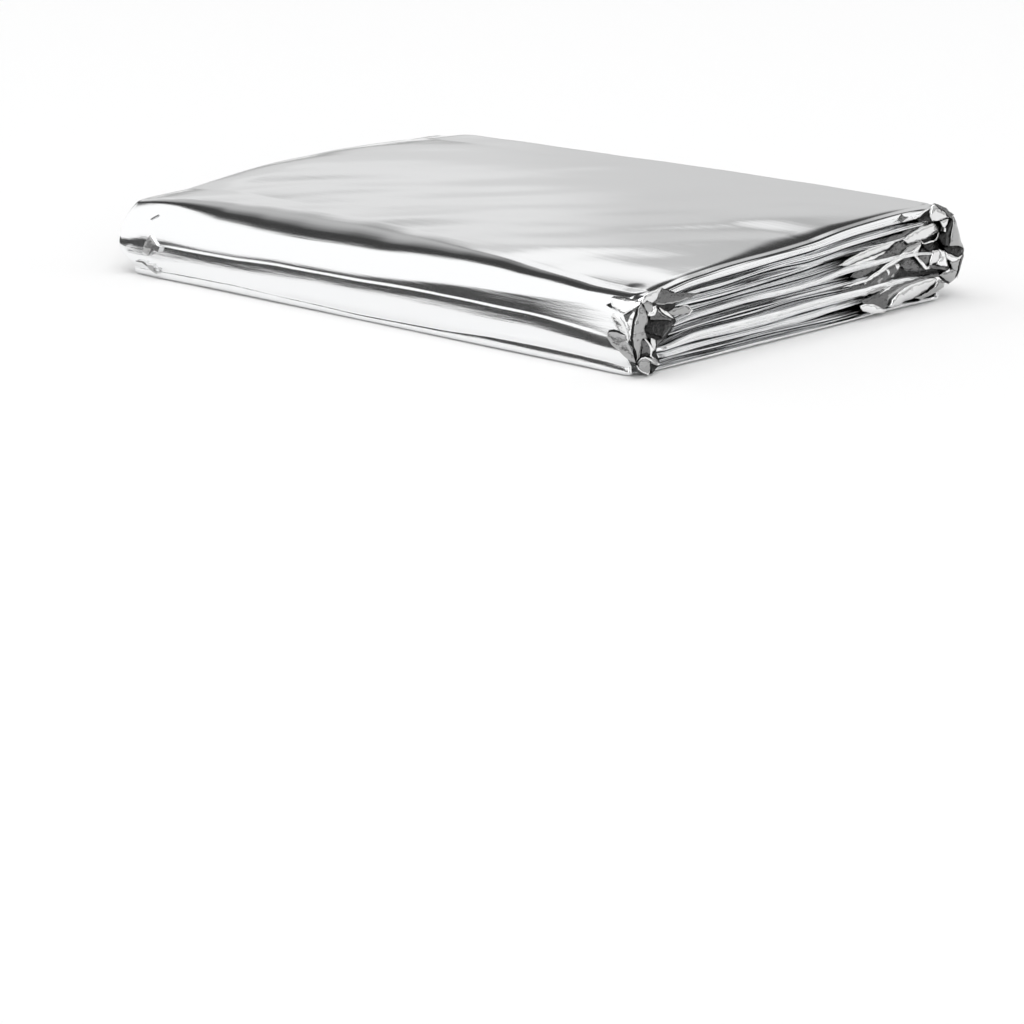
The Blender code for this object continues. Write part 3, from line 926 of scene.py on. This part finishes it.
FOOT_PATH = (
    Stretch("pass", 0, 0.0, 1.0, 110),
    Stretch("turn", 0, 0.0, 1.0, 24),
    Stretch("pass", 1, 0.0, 0.5, 60),
)
foot_columns = film_columns((0, 1), fine_steps=60, coarse_steps=14, tuck_first=True)
foot_film = film_object("foot_film", folded_film(foot_columns, FOOT_PATH))
foot_film.data.materials.append(film_finish)
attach(foot_film, "root")
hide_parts("foil_blanket")

# ---------------------------------------------------------------------------------------------
# The under plies: the four plies under those two, along the whole way of the foot film and the outer
# film. The same metallised film, pleated to and fro, so that its folds are at the pack's two ends,
# where they show as thin lobes under the fat ones.

UNDER_PATH = (
    Stretch("pass", 0, 0.0, 1.0, 110),
    Stretch("turn", 0, 0.0, 1.0, 24),
    Stretch("pass", 1, 0.0, 1.0, 110),
    Stretch("turn", 1, 0.0, 1.0, 60),
    Stretch("pass", 2, 0.0, 1.0, 110),
    Stretch("turn", 2, 0.0, 1.0, 40),
    Stretch("pass", 3, 0.0, 0.33, 40),
)
under_columns = film_columns((2, 3, 4, 5), fine_steps=14, coarse_steps=14, tuck_last=True)
under_plies = film_object("under_plies", folded_film(under_columns, UNDER_PATH))
under_plies.data.materials.append(film_finish)
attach(under_plies, "root")
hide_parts("foil_blanket")

# ---------------------------------------------------------------------------------------------
# The second wrap: all six plies of the film's second way round, inside the first one. It rises behind
# the spine, runs to the back under the top and turns down there. The same metallised film, pleated
# and held by nothing but the press of the wraps around it.

SECOND_PATH = (
    Stretch("pass", 3, 0.33, 1.0, 90),
    Stretch("turn", 3, 0.0, 1.0, 30),
    Stretch("pass", 4, 0.0, 1.0, 140),
    Stretch("turn", 4, 0.0, 1.0, 30),
    Stretch("pass", 5, 0.0, 0.5, 70),
)
ALL_PLIES = tuple(range(PLIES))
inner_columns = film_columns(ALL_PLIES, fine_steps=14, coarse_steps=10, tuck_first=True, tuck_last=True)
second_wrap = film_object("second_wrap", folded_film(inner_columns, SECOND_PATH))
second_wrap.data.materials.append(film_finish)
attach(second_wrap, "root")
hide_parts("foil_blanket")

# ---------------------------------------------------------------------------------------------
# The core: all six plies of the last, tightest way round, in the middle of the pack. The same
# metallised film. Its end lies loose, a little short of the innermost turn at the spine.

CORE_PATH = (
    Stretch("pass", 5, 0.5, 1.0, 70),
    Stretch("turn", 5, 0.0, 1.0, 24),
    Stretch("pass", 6, 0.0, 1.0, 140),
    Stretch("turn", 6, 0.0, 1.0, 20),
    Stretch("pass", 7, 0.0, 1.0, 140),
)
core_folds = film_object("core_folds", folded_film(inner_columns, CORE_PATH))
core_folds.data.materials.append(film_finish)
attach(core_folds, "root")
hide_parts("foil_blanket")

# ---------------------------------------------------------------------------------------------
# The crushed ends of the folds at the near corner: the same film, pinched into little domed tucks
# when the bundle was wound and pressed. The tucks in front lie over the ones behind, and the rim of
# each runs back into the pack. Each tuck's colour is painted light or shade, from near white to near
# black, and the darkest tucks are painted shade in the clefts and pockets.

END_PLANE = 60.0 * MM
RIM_LENGTH = 0.4  # mm, by which the rims reach behind the deepest tuck
RIM_PAINTED_TONE = "pale"  # the painted tone of light and shade of the rims, which show from behind and from the sides
TUCK_CUTS = 6  # of each side of the triangles that a tuck is made of
TUCK_CRUMPLE = ((1.1, 0.10), (0.5, 0.05))  # pitch and push of the small creases in each tuck
CRINKLED = ("dark", "dull")  # the painted tones of the tucks that are creased the most, into small facets

# Painted light and shade of the tucks: each tone sets the share of light that a tuck returns, from near
# white for painted highlights to near black for painted shade, and the height of its crinkle against the
# wrinkles
PaintedTone = namedtuple("PaintedTone", "brightness crinkle")
PAINTED_TONES = {
    "white": PaintedTone(brightness=0.95, crinkle=0.4),
    "pale": PaintedTone(brightness=0.80, crinkle=0.5),
    "grey": PaintedTone(brightness=0.42, crinkle=1.0),
    "dull": PaintedTone(brightness=0.16, crinkle=3.0),
    "dark": PaintedTone(brightness=0.03, crinkle=3.0),
}
PAINTED_TONE_ROUGHNESS = 0.14
PAINTED_TONE_WRINKLE_DEPTH = 0.05 * MM

painted_tone_films = []
for tone_name, tone_paint in PAINTED_TONES.items():
    toned_film = bpy.data.materials.new("film_" + tone_name)
    toned_film.use_nodes = True
    toned_shader = toned_film.node_tree.nodes["Principled BSDF"]
    toned_colour = (tone_paint.brightness, tone_paint.brightness, tone_paint.brightness, 1.0)
    toned_shader.inputs["Base Color"].default_value = toned_colour
    toned_shader.inputs["Metallic"].default_value = 1.0
    toned_shader.inputs["Roughness"].default_value = PAINTED_TONE_ROUGHNESS
    toned_wrinkles = toned_film.node_tree.nodes.new("ShaderNodeGroup")
    toned_wrinkles.node_tree = wrinkles
    toned_wrinkles.inputs["Depth"].default_value = PAINTED_TONE_WRINKLE_DEPTH
    toned_wrinkles.inputs["Crinkle"].default_value = tone_paint.crinkle
    toned_film.node_tree.links.new(toned_wrinkles.outputs["Normal"], toned_shader.inputs["Normal"])
    painted_tone_films.append(toned_film)

# The outline of a tuck is where it is seen in the picture: px from its left and top.
# bulge is how far it is domed, in mm.
# The first field is the tuck's tone of painted light or shade, one of the tones above.
Tuck = namedtuple("Tuck", "finish bulge outline")
NEAR_TUCKS = (
    Tuck("dark", 0.0, ((641, 299), (654, 300), (662, 288), (674, 292), (676, 303), (673, 316), (676, 322),
        (666, 339), (657, 346), (656, 353), (660, 363), (653, 373), (646, 375), (637, 368), (631, 342),
        (634, 325))),
    Tuck("dull", 0.2, ((661, 288), (672, 293), (683, 293), (700, 293), (690, 298), (672, 303), (653, 304),
        (652, 301), (657, 297))),
    Tuck("grey", 0.1, ((656, 302), (665, 303), (674, 301), (690, 296), (690, 298), (674, 303), (665, 305),
        (656, 304))),
    Tuck("grey", 0.25, ((668, 312), (675, 308), (684, 305), (692, 310), (689, 314), (680, 315),
        (671, 315.5))),
    Tuck("pale", 0.1, ((679, 305.5), (685, 304), (690, 306.5), (693, 310), (690, 314.5), (686, 315.5),
        (690, 312.5), (691, 310), (688, 307), (684, 305.6))),
    Tuck("dull", 0.3, ((650, 316), (654, 314), (657, 309), (661, 313), (666, 316), (671, 318), (671, 321),
        (660, 320.5), (650, 320.5))),
    Tuck("dark", 0.5, ((648, 320), (660, 320), (671, 320.5), (674, 322), (669, 331), (664, 339), (655, 335),
        (650, 335), (644, 330))),
    Tuck("dull", 0.3, ((646, 327), (649, 323), (653, 327.5), (657, 331), (660, 337), (655, 334.5),
        (650, 332))),
    Tuck("grey", 0.1, ((650, 323), (656, 329), (661, 336), (658, 334.5), (653, 328.5))),
    Tuck("dull", 0.2, ((672, 321), (669, 330), (665, 337), (662, 335), (666, 328))),
    Tuck("grey", 0.15, ((658, 309), (662, 313), (668, 317.5), (663, 316), (658, 312))),
    Tuck("white", 0.15, ((659, 307.5), (663, 309), (670, 314), (673, 318.5), (669, 317), (661, 311))),
    Tuck("pale", 0.25, ((650, 338), (653, 338.5), (656, 340), (656.5, 345), (655.5, 350), (653, 349),
        (651, 343))),
    Tuck("dull", 0.1, ((656.5, 340), (663, 339.5), (658, 345), (657, 350))),
    Tuck("grey", 0.2, ((638, 340), (642, 340), (642.5, 346), (641, 353), (638.5, 359), (638, 350))),
    Tuck("dull", 0.35, ((641, 341), (645, 340), (649, 344), (651, 349), (651, 356), (646, 353), (641, 355),
        (642, 348))),
    Tuck("dark", 0.1, ((642, 351), (646, 351), (650, 356.5), (646, 355.5), (641, 356))),
    Tuck("white", 0.15, ((641, 336.5), (645, 337), (651, 344), (655, 350), (652.5, 351), (651, 358),
        (649.7, 357), (650.5, 351), (648, 344), (643, 339))),
    Tuck("grey", 0.2, ((651, 358), (655, 358), (659, 363), (657, 366), (651, 364))),
    Tuck("white", 0.1, ((651, 356), (656, 360), (660, 364.5), (657.5, 365.5), (652, 360))),
    Tuck("dark", 0.1, ((650, 364), (657, 366.5), (659, 366), (654, 370), (652.5, 373), (650, 369))),
    Tuck("grey", 0.45, ((639, 361), (642, 358), (646, 358), (650, 362), (651, 368), (648, 374), (643, 372),
        (639, 368))),
    Tuck("white", 0.1, ((637, 365), (641, 369), (648, 373), (650, 370), (650, 372), (648.5, 375.5),
        (643, 373), (638, 369))),
    Tuck("white", 0.1, ((637, 364), (641, 357.5), (645, 356.5), (650, 359), (656, 364), (650, 361.5),
        (645, 358.5), (641, 360))),
    Tuck("dark", 0.1, ((641, 302), (634, 314), (631, 331), (630, 339), (634, 350), (637, 362), (638, 352),
        (635, 344), (634, 332), (637, 314))),
    Tuck("grey", 0.4, ((641, 303), (645, 309), (648, 318), (648, 321), (644, 329), (644, 331), (648, 338),
        (642, 339.5), (641, 350), (637, 361), (636, 352), (633, 343), (632, 338), (634, 322), (638, 309))),
    Tuck("grey", 0.25, ((643, 303), (648, 301), (652, 304), (654.5, 308), (652, 311), (648, 314),
        (645, 309))),
    Tuck("pale", 0.3, ((641, 302), (644, 296), (648, 292), (656, 289), (662, 287.5), (660, 293), (656, 300),
        (652, 303), (647, 300.5), (642.5, 304))),
    Tuck("white", 0.2, ((653, 306), (656.5, 305), (657.5, 309), (655, 315), (651, 316.5), (647.5, 315),
        (648, 311.5), (652, 311))),
)

PICTURE_WIDTH = 1024.0  # px, and the picture is square
FOCAL_LENGTH = PICTURE_WIDTH * CAMERA_LENS / SENSOR_WIDTH
camera_turn = np.array(camera.rotation_euler.to_matrix())


def sight_lines(picture_places):
    """Directions from the camera to places in the picture."""
    right = picture_places[:, 0] - PICTURE_WIDTH / 2.0
    up = PICTURE_WIDTH / 2.0 - picture_places[:, 1]
    seen = np.stack((right, up, 0.0 * right - FOCAL_LENGTH), axis=-1)
    return seen @ camera_turn.T


def on_end(sight):
    """Where lines of sight meet the plane of the open end."""
    return np.array(CAMERA_PLACE) + sight * ((END_PLANE - CAMERA_PLACE.x) / sight[:, :1])


def moved_back(points, square_axis, depth):
    """Points moved away from the camera, by a depth in mm along the given axis."""
    away = points - np.array(CAMERA_PLACE)
    away = away / np.abs(away[:, square_axis : square_axis + 1])
    return points + away * (depth * MM)[:, None]


def from_outline(points, outline):
    """How far points lie from the nearest side of a closed outline."""
    nearest = np.full(len(points), np.inf)
    for start, end in zip(outline, np.roll(outline, -1, axis=0)):
        side = end - start
        share = np.clip((points - start) @ side / (side @ side), 0.0, 1.0)
        gap = points - start - share[:, None] * side
        nearest = np.minimum(nearest, np.sqrt((gap ** 2).sum(axis=1)))
    return nearest


def tucked_film(name, tucks, surface, square_axis, first_depth, last_depth, crumple=1.0, crisp_rim=False):
    """Domed tucks on a surface, the first one deepest. Depths are in mm, square to the surface."""
    joined = bmesh.new()
    one_tuck = bpy.data.meshes.new("one_tuck")
    for number, tuck in enumerate(tucks):
        depth = blend(first_depth, last_depth, number / (len(tucks) - 1))
        outline = np.array(tuck.outline, float)
        following = np.roll(outline, -1, axis=0)
        if (outline[:, 0] * following[:, 1] - following[:, 0] * outline[:, 1]).sum() > 0.0:
            outline = outline[::-1]
        bm = bmesh.new()
        face = bm.faces.new([bm.verts.new((across, down, 0.0)) for across, down in outline])
        # The tuck's faces take its tone of painted light or shade.
        face.material_index = list(PAINTED_TONES).index(tuck.finish)
        bmesh.ops.triangulate(bm, faces=bm.faces)
        bmesh.ops.subdivide_edges(bm, edges=bm.edges, cuts=TUCK_CUTS, use_grid_fill=True)
        rim = [edge for edge in bm.edges if edge.is_boundary]
        seen = np.array([vert.co for vert in bm.verts])[:, :2]
        inside = from_outline(seen, outline)
        dome = tuck.bulge * np.sqrt(1.0 - (1.0 - inside / inside.max()) ** 2)
        places = moved_back(surface(sight_lines(seen)), square_axis, depth - dome)
        for pitch, push in TUCK_CRUMPLE:
            places = places + MM * crumple * push * facets(places, pitch)
        for vert, place in zip(bm.verts, places):
            vert.co = place
        for edge in rim:
            edge.smooth = not crisp_rim
        drawn = bmesh.ops.extrude_edge_only(bm, edges=rim)["geom"]
        # The rims take their own tone of painted light and shade.
        for part in drawn:
            if isinstance(part, bmesh.types.BMFace):
                part.material_index = list(PAINTED_TONES).index(RIM_PAINTED_TONE)
        ends = [part for part in drawn if isinstance(part, bmesh.types.BMVert)]
        run = max(first_depth, last_depth) + RIM_LENGTH - depth
        deep = moved_back(np.array([vert.co for vert in ends]), square_axis, np.full(len(ends), run))
        deep[:, 1] = np.clip(deep[:, 1], -DEPTH / 2.0, DEPTH / 2.0)
        deep[:, 2] = np.maximum(deep[:, 2], 0.0)
        for vert, place in zip(ends, deep):
            vert.co = place
        for face in bm.faces:
            face.smooth = tuck.finish not in CRINKLED
        bm.to_mesh(one_tuck)
        bm.free()
        joined.from_mesh(one_tuck)
    bpy.data.meshes.remove(one_tuck)
    mesh = bpy.data.meshes.new(name)
    joined.to_mesh(mesh)
    joined.free()
    film = bpy.data.objects.new(name, mesh)
    bpy.context.scene.collection.objects.link(film)
    for toned_film in painted_tone_films:
        mesh.materials.append(toned_film)
    return film


X_AXIS = 0
Y_AXIS = 1

near_corner = tucked_film("near_corner", NEAR_TUCKS, on_end, X_AXIS, first_depth=-0.4, last_depth=-1.3)
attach(near_corner, "root")
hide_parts("foil_blanket")

# ---------------------------------------------------------------------------------------------
# The crushed ends of the folds at the right end of the back: the same film, pinched and pressed in
# the same way into more and larger tucks, from the top down to the lobe at the foot. Their colours
# are painted light and shade in the same way.

BACK_TUCKS = (
    Tuck("dark", 0.0, ((934, 205), (945, 208), (953, 215), (958, 232), (963, 248), (960, 266), (956, 278),
        (949, 283), (938, 277), (928, 272), (908, 278), (899, 277), (893, 271), (902, 256), (912, 243),
        (925, 232), (930, 218))),
    Tuck("dull", 0.2, ((850, 277.5), (856, 271), (866, 264), (877, 258.5), (886, 253.5), (892, 248),
        (898, 256), (902, 255), (896, 260), (888, 265.5), (878, 270.5), (868, 275.5), (858, 278))),
    Tuck("grey", 0.1, ((864, 266.5), (874, 263), (884, 259.5), (893, 255), (884, 261.5), (874, 265.5))),
    Tuck("pale", 0.3, ((838, 266), (848, 259), (860, 252), (872, 247), (882, 244), (890, 241),
        (897.5, 239.5), (893, 245.5), (886.5, 250), (874, 254.5), (860, 260), (848, 266))),
    Tuck("white", 0.1, ((836, 272), (846, 267.5), (860, 261), (874, 255.5), (886, 251.5), (884, 254),
        (872, 259.5), (858, 265.5), (846, 271))),
    Tuck("dull", 0.1, ((881, 242), (889, 237), (901, 233.5), (911, 228.5), (922, 225.5), (911, 231.5),
        (903, 237.5), (896, 240), (890, 241))),
    Tuck("dull", 0.3, ((890, 252), (894, 246), (898, 240.5), (906, 245), (916, 242.5), (907, 250),
        (899, 256), (894, 254))),
    Tuck("pale", 0.35, ((902, 240), (910, 233), (920, 227), (932, 223), (938, 223), (941, 227), (939, 232),
        (929, 238), (916, 242.5), (908, 245))),
    Tuck("dull", 0.4, ((900, 265), (904, 258.5), (908, 257), (914, 258.5), (920, 265), (928, 271),
        (915, 273), (904, 270))),
    Tuck("grey", 0.15, ((910, 263), (914, 261.5), (920, 268), (922, 271.5), (916, 270))),
    Tuck("dark", 0.0, ((840, 300.5), (846, 296), (858, 292.5), (872, 288), (889, 279), (898, 270),
        (908, 272), (925, 272.5), (944, 270.5), (930, 274), (910, 277), (893, 282), (878, 289),
        (860, 295.5), (846, 301))),
    Tuck("dull", 0.3, ((842, 291), (854, 286.8), (867, 282.5), (877, 275), (886, 269.5), (893, 265),
        (901, 262), (900, 269), (893, 276.5), (885, 282.5), (876, 286.5), (865, 291), (854, 293.5),
        (844, 296))),
    Tuck("grey", 0.15, ((855, 291), (861, 287), (864, 289), (859, 292))),
    Tuck("white", 0.15, ((862, 286), (866, 281.5), (868, 285), (865, 289.5))),
    Tuck("grey", 0.2, ((867, 287), (871, 281), (875, 280), (873, 286))),
    Tuck("white", 0.15, ((879, 279), (882, 274), (886, 271), (884, 277), (881, 281))),
    Tuck("grey", 0.2, ((874, 283), (878, 277), (883, 275), (885, 279), (880, 284))),
    Tuck("white", 0.2, ((886, 270), (889, 269), (891, 274), (888, 277))),
    Tuck("grey", 0.2, ((890, 278), (893, 273), (895, 274), (893, 278))),
    Tuck("white", 0.2, ((895, 264.5), (899, 263.5), (901, 266), (898, 269.5), (895.5, 268.5))),
    Tuck("white", 0.35, ((842, 288), (855, 282), (867, 278), (879, 269.5), (892, 260.5), (903, 252),
        (912, 251), (921, 243), (922, 247), (916, 254.5), (908, 257), (900, 261), (890, 267.5), (879, 275),
        (867, 282), (854, 286))),
    Tuck("grey", 0.2, ((903, 252), (907, 247.5), (913, 245), (921, 240.5), (921, 244), (912, 251.5),
        (906, 253.5))),
    Tuck("dull", 0.1, ((912, 245), (915.5, 243), (916, 247), (913.5, 249.5))),
    Tuck("dark", 0.3, ((922, 244.5), (928, 242), (933, 240), (934.5, 248), (930, 252.5), (925, 249))),
    Tuck("white", 0.15, ((920.5, 240.5), (924, 243), (931, 240), (936, 239), (939, 231.5), (940, 235),
        (937, 241), (932, 242), (926, 245), (922, 244))),
    Tuck("dull", 0.3, ((919, 257), (922, 249), (928, 251.5), (931, 254), (929, 262), (926, 265),
        (922, 261))),
    Tuck("grey", 0.2, ((922, 250), (926, 252), (930, 256), (927, 258), (923, 255))),
    Tuck("white", 0.2, ((914, 256), (916.5, 254), (922, 261), (928, 267), (931.5, 258), (933, 263),
        (930, 270), (925, 270), (918, 262))),
    Tuck("pale", 0.3, ((932, 250.5), (939, 249), (941, 255), (938, 262), (930, 265), (929, 262))),
    Tuck("white", 0.3, ((939, 249), (944.5, 250), (947, 258), (948.5, 267), (941, 266.5), (936, 264),
        (941, 256))),
    Tuck("grey", 0.15, ((940, 251), (942.5, 254), (945, 264), (941, 264), (939.5, 257))),
    Tuck("dull", 0.15, ((929, 264.5), (936, 265.5), (948, 268), (946, 270.5), (934, 269), (928, 269.5))),
    Tuck("grey", 0.3, ((950, 262), (958, 259), (962, 257), (960, 266), (958, 273), (952, 269))),
    Tuck("white", 0.2, ((955.5, 262), (958, 261), (959, 269), (956.5, 271))),
    Tuck("grey", 0.3, ((939, 275), (946, 270.5), (954, 268), (959, 272), (956, 278), (950, 283),
        (944, 279))),
    Tuck("dark", 0.1, ((939, 277), (944, 278), (951, 281.5), (949, 284), (943, 281.5))),
    Tuck("white", 0.1, ((938, 279), (944, 281), (950, 284.5), (946, 285), (939, 281))),
    Tuck("white", 0.2, ((945, 271.5), (949.5, 268.5), (950.5, 271), (947, 273.5))),
    Tuck("grey", 0.2, ((946, 274), (951, 271.5), (955, 277), (952, 281))),
    Tuck("dull", 0.15, ((963, 251), (964, 248), (963.5, 256), (960, 271), (957, 279), (959, 268),
        (961, 259))),
    Tuck("white", 0.3, ((945, 252), (951, 254), (958, 256.5), (963.5, 254), (960, 259.5), (952, 262),
        (948, 260), (946, 257))),
    Tuck("dark", 0.3, ((943.5, 247.5), (952, 246.5), (960, 247), (964, 248.5), (963, 253), (958, 256),
        (951, 253.5), (946, 251.5))),
    Tuck("dark", 0.4, ((952, 217.5), (953, 223), (950, 236), (949, 247), (945, 247), (940, 240), (939, 235),
        (944, 232), (948, 224))),
    Tuck("dull", 0.15, ((940, 235), (943, 233), (945, 236), (943.5, 242), (941, 239.5))),
    Tuck("grey", 0.4, ((953, 215), (956, 220), (959, 233), (963.5, 248), (956, 246.5), (948.5, 247),
        (950, 234), (952.5, 220))),
    Tuck("white", 0.25, ((952.5, 229), (954, 225), (957, 236), (960, 245), (955, 244.5), (953, 239))),
    Tuck("pale", 0.2, ((949, 246), (950.5, 235), (952, 226), (952, 238), (953.5, 246))),
    Tuck("pale", 0.25, ((940, 222), (944, 220), (948, 219), (948, 223), (945, 228), (942, 227))),
    Tuck("white", 0.15, ((943.5, 227.5), (946, 228), (945.5, 233), (943, 232))),
    Tuck("dark", 0.1, ((939, 221.5), (943, 224.5), (942.5, 232), (940.5, 232), (941, 226))),
    Tuck("dark", 0.1, ((917, 220), (923, 214.5), (930, 209), (930, 217), (932, 221), (924, 221))),
    Tuck("white", 0.1, ((914, 219), (922, 212), (930, 208), (929, 210.5), (922, 215), (916, 219.5))),
    Tuck("dull", 0.3, ((933, 203), (942, 205.5), (948, 210), (954, 214), (953, 219), (949, 218.5),
        (944, 211.5), (938, 207))),
    Tuck("dark", 0.1, ((943.5, 209), (946, 208), (952, 214), (953, 218), (949, 218.5), (946, 213))),
    Tuck("pale", 0.5, ((929, 213), (931, 206), (934, 203.5), (940, 208), (945, 212), (948.5, 218),
        (944, 219), (938, 221.5), (932, 221), (929, 217))),
    Tuck("grey", 0.1, ((929, 213), (931, 206), (932.5, 210), (931, 215), (933, 221), (930, 218.5))),
    Tuck("dull", 0.2, ((898, 219), (901, 213.5), (904, 216), (909, 217), (904, 220.5), (901, 223))),
    Tuck("dull", 0.3, ((862, 301), (880, 291.5), (905, 281.5), (923, 276.5), (938, 273), (940, 275.5),
        (935, 277.5), (922, 279), (908, 284), (898, 291), (892, 298.5), (888, 305.5), (884, 309),
        (874, 306), (864, 305))),
    Tuck("grey", 0.2, ((864, 295), (871, 290.5), (880, 287), (887, 286), (881, 290.5), (872, 294))),
    Tuck("white", 0.15, ((877, 295), (886, 288.5), (893, 284), (891, 288), (884, 293), (880, 296))),
    Tuck("grey", 0.2, ((872, 300), (886, 292), (905, 284), (920, 279), (932, 277), (922, 280.5), (908, 286),
        (897, 293), (890, 300), (882, 304))),
    Tuck("pale", 0.6, ((888, 306), (892, 298.5), (898, 291), (908, 284.5), (922, 279.3), (935, 277.5),
        (937, 279.5), (934, 284), (928, 290), (916, 297), (902, 303), (892, 308))),
    Tuck("white", 0.35, ((860, 306), (866, 303), (874, 304), (884, 308), (888, 309), (884, 313), (872, 314),
        (862, 311))),
    Tuck("grey", 0.2, ((868, 306), (873, 305.5), (876, 309), (872, 312), (867, 310))),
    Tuck("grey", 0.3, ((914, 298), (922, 295), (929, 291), (935, 286), (937, 281), (940, 280), (945, 282.5),
        (944, 287), (938, 291), (930, 295.5), (920, 299))),
    Tuck("dark", 0.1, ((928, 291.5), (931, 288.5), (934, 284), (936, 284), (934, 289), (931, 292))),
    Tuck("white", 0.2, ((936, 283), (939, 281), (943, 282.7), (940, 287), (936, 289), (934, 288))),
)

back_corner = tucked_film("back_corner", BACK_TUCKS, on_end, X_AXIS, first_depth=0.9, last_depth=-0.6)
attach(back_corner, "root")
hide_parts("foil_blanket")

# ---------------------------------------------------------------------------------------------
# The two ends of the spine: the same film, dimpled and pinched where it was pressed. These tucks are
# flatter than the others and lie on the outer film. Their colours are painted light and shade as well.

SIGHT_ROUNDS = 12  # of taking the face's depth anew at the place that was found last
FACE_ROWS = 120  # of the face, against which the lines of sight are held


def on_spine(sight):
    """Where lines of sight meet the spine's outer face, which is carried on past its ends."""
    start = np.array(CAMERA_PLACE)
    face = np.full(len(sight), -DEPTH / 2.0)
    for _ in range(SIGHT_ROUNDS):
        points = start + sight * ((face - start[1]) / sight[:, 1])[:, None]
        film = turn_rows(Stretch("turn", OUTER_SPINE, 0.0, 1.0, FACE_ROWS), points[:, 0])
        heights = zip(points[:, 2], film.z.T, film.y.T)
        face = np.array([np.interp(height, rises, depths) for height, rises, depths in heights])
    return points


SPINE_TUCKS = (
    Tuck("dull", 0.03, ((150, 219.3), (153.5, 216.8), (158.5, 214.4), (159.4, 215), (155, 217.8),
        (151, 219.9))),
    Tuck("pale", 0.1, ((613, 313), (618, 316), (622, 321), (626, 328), (628, 334), (629, 341), (626, 343),
        (622, 338), (618, 331), (614, 324), (611, 317))),
    Tuck("white", 0.1, ((632, 311), (641, 304), (637, 313), (633, 323), (631.5, 332), (632, 343),
        (629, 339), (627.8, 331), (627, 323))),
    Tuck("dull", 0.1, ((623, 314.5), (632, 311.3), (627.5, 322), (626, 322))),
    Tuck("grey", 0.2, ((607.5, 333), (610, 331), (618, 331.5), (623, 334), (626, 335.5), (625, 342),
        (620, 347), (618, 350), (611.5, 345), (607.5, 338))),
    Tuck("dark", 0.05, ((607.5, 333.5), (609, 330.3), (614, 329.2), (620, 331), (626, 335), (622, 334.6),
        (616, 332.8), (611, 332.6))),
    Tuck("grey", 0.1, ((619, 348), (625, 341), (629, 345), (633, 354), (635.5, 363), (630, 361), (624, 356),
        (620, 352))),
    Tuck("grey", 0.15, ((143, 247), (145, 242), (150, 235), (153, 239), (156, 244.5), (154, 250),
        (148, 256), (144.5, 252.5))),
    Tuck("dull", 0.1, ((150, 244), (156, 245), (160, 247), (158, 252), (154, 250.5), (148, 255.5),
        (149, 249))),
    Tuck("dull", 0.05, ((135, 261), (139, 260.6), (144, 261.6), (149, 266.4), (147, 266.8), (142, 262.8),
        (138, 262))),
    Tuck("grey", 0.1, ((146, 264.6), (151, 265.4), (158, 271.5), (156, 274), (151.5, 271), (148, 268))),
    Tuck("white", 0.15, ((611, 297.5), (614, 296), (620, 296), (629, 298), (637, 300), (641.5, 301.5),
        (640, 305), (632, 310), (623, 315), (620, 312.5), (615, 308), (612.5, 304))),
    Tuck("dull", 0.05, ((632, 310.2), (641.5, 302.8), (641.3, 304.2), (633, 311.4))),
    Tuck("dark", 0.05, ((606, 305), (611, 302.5), (612.5, 307.5), (611, 308.5))),
)

SPINE_DEPTHS = (-0.15, -0.7)
spine_tucks = tucked_film(
    "spine_tucks", SPINE_TUCKS, on_spine, Y_AXIS, *SPINE_DEPTHS, crumple=0.4, crisp_rim=True
)
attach(spine_tucks, "root")
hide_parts("foil_blanket")
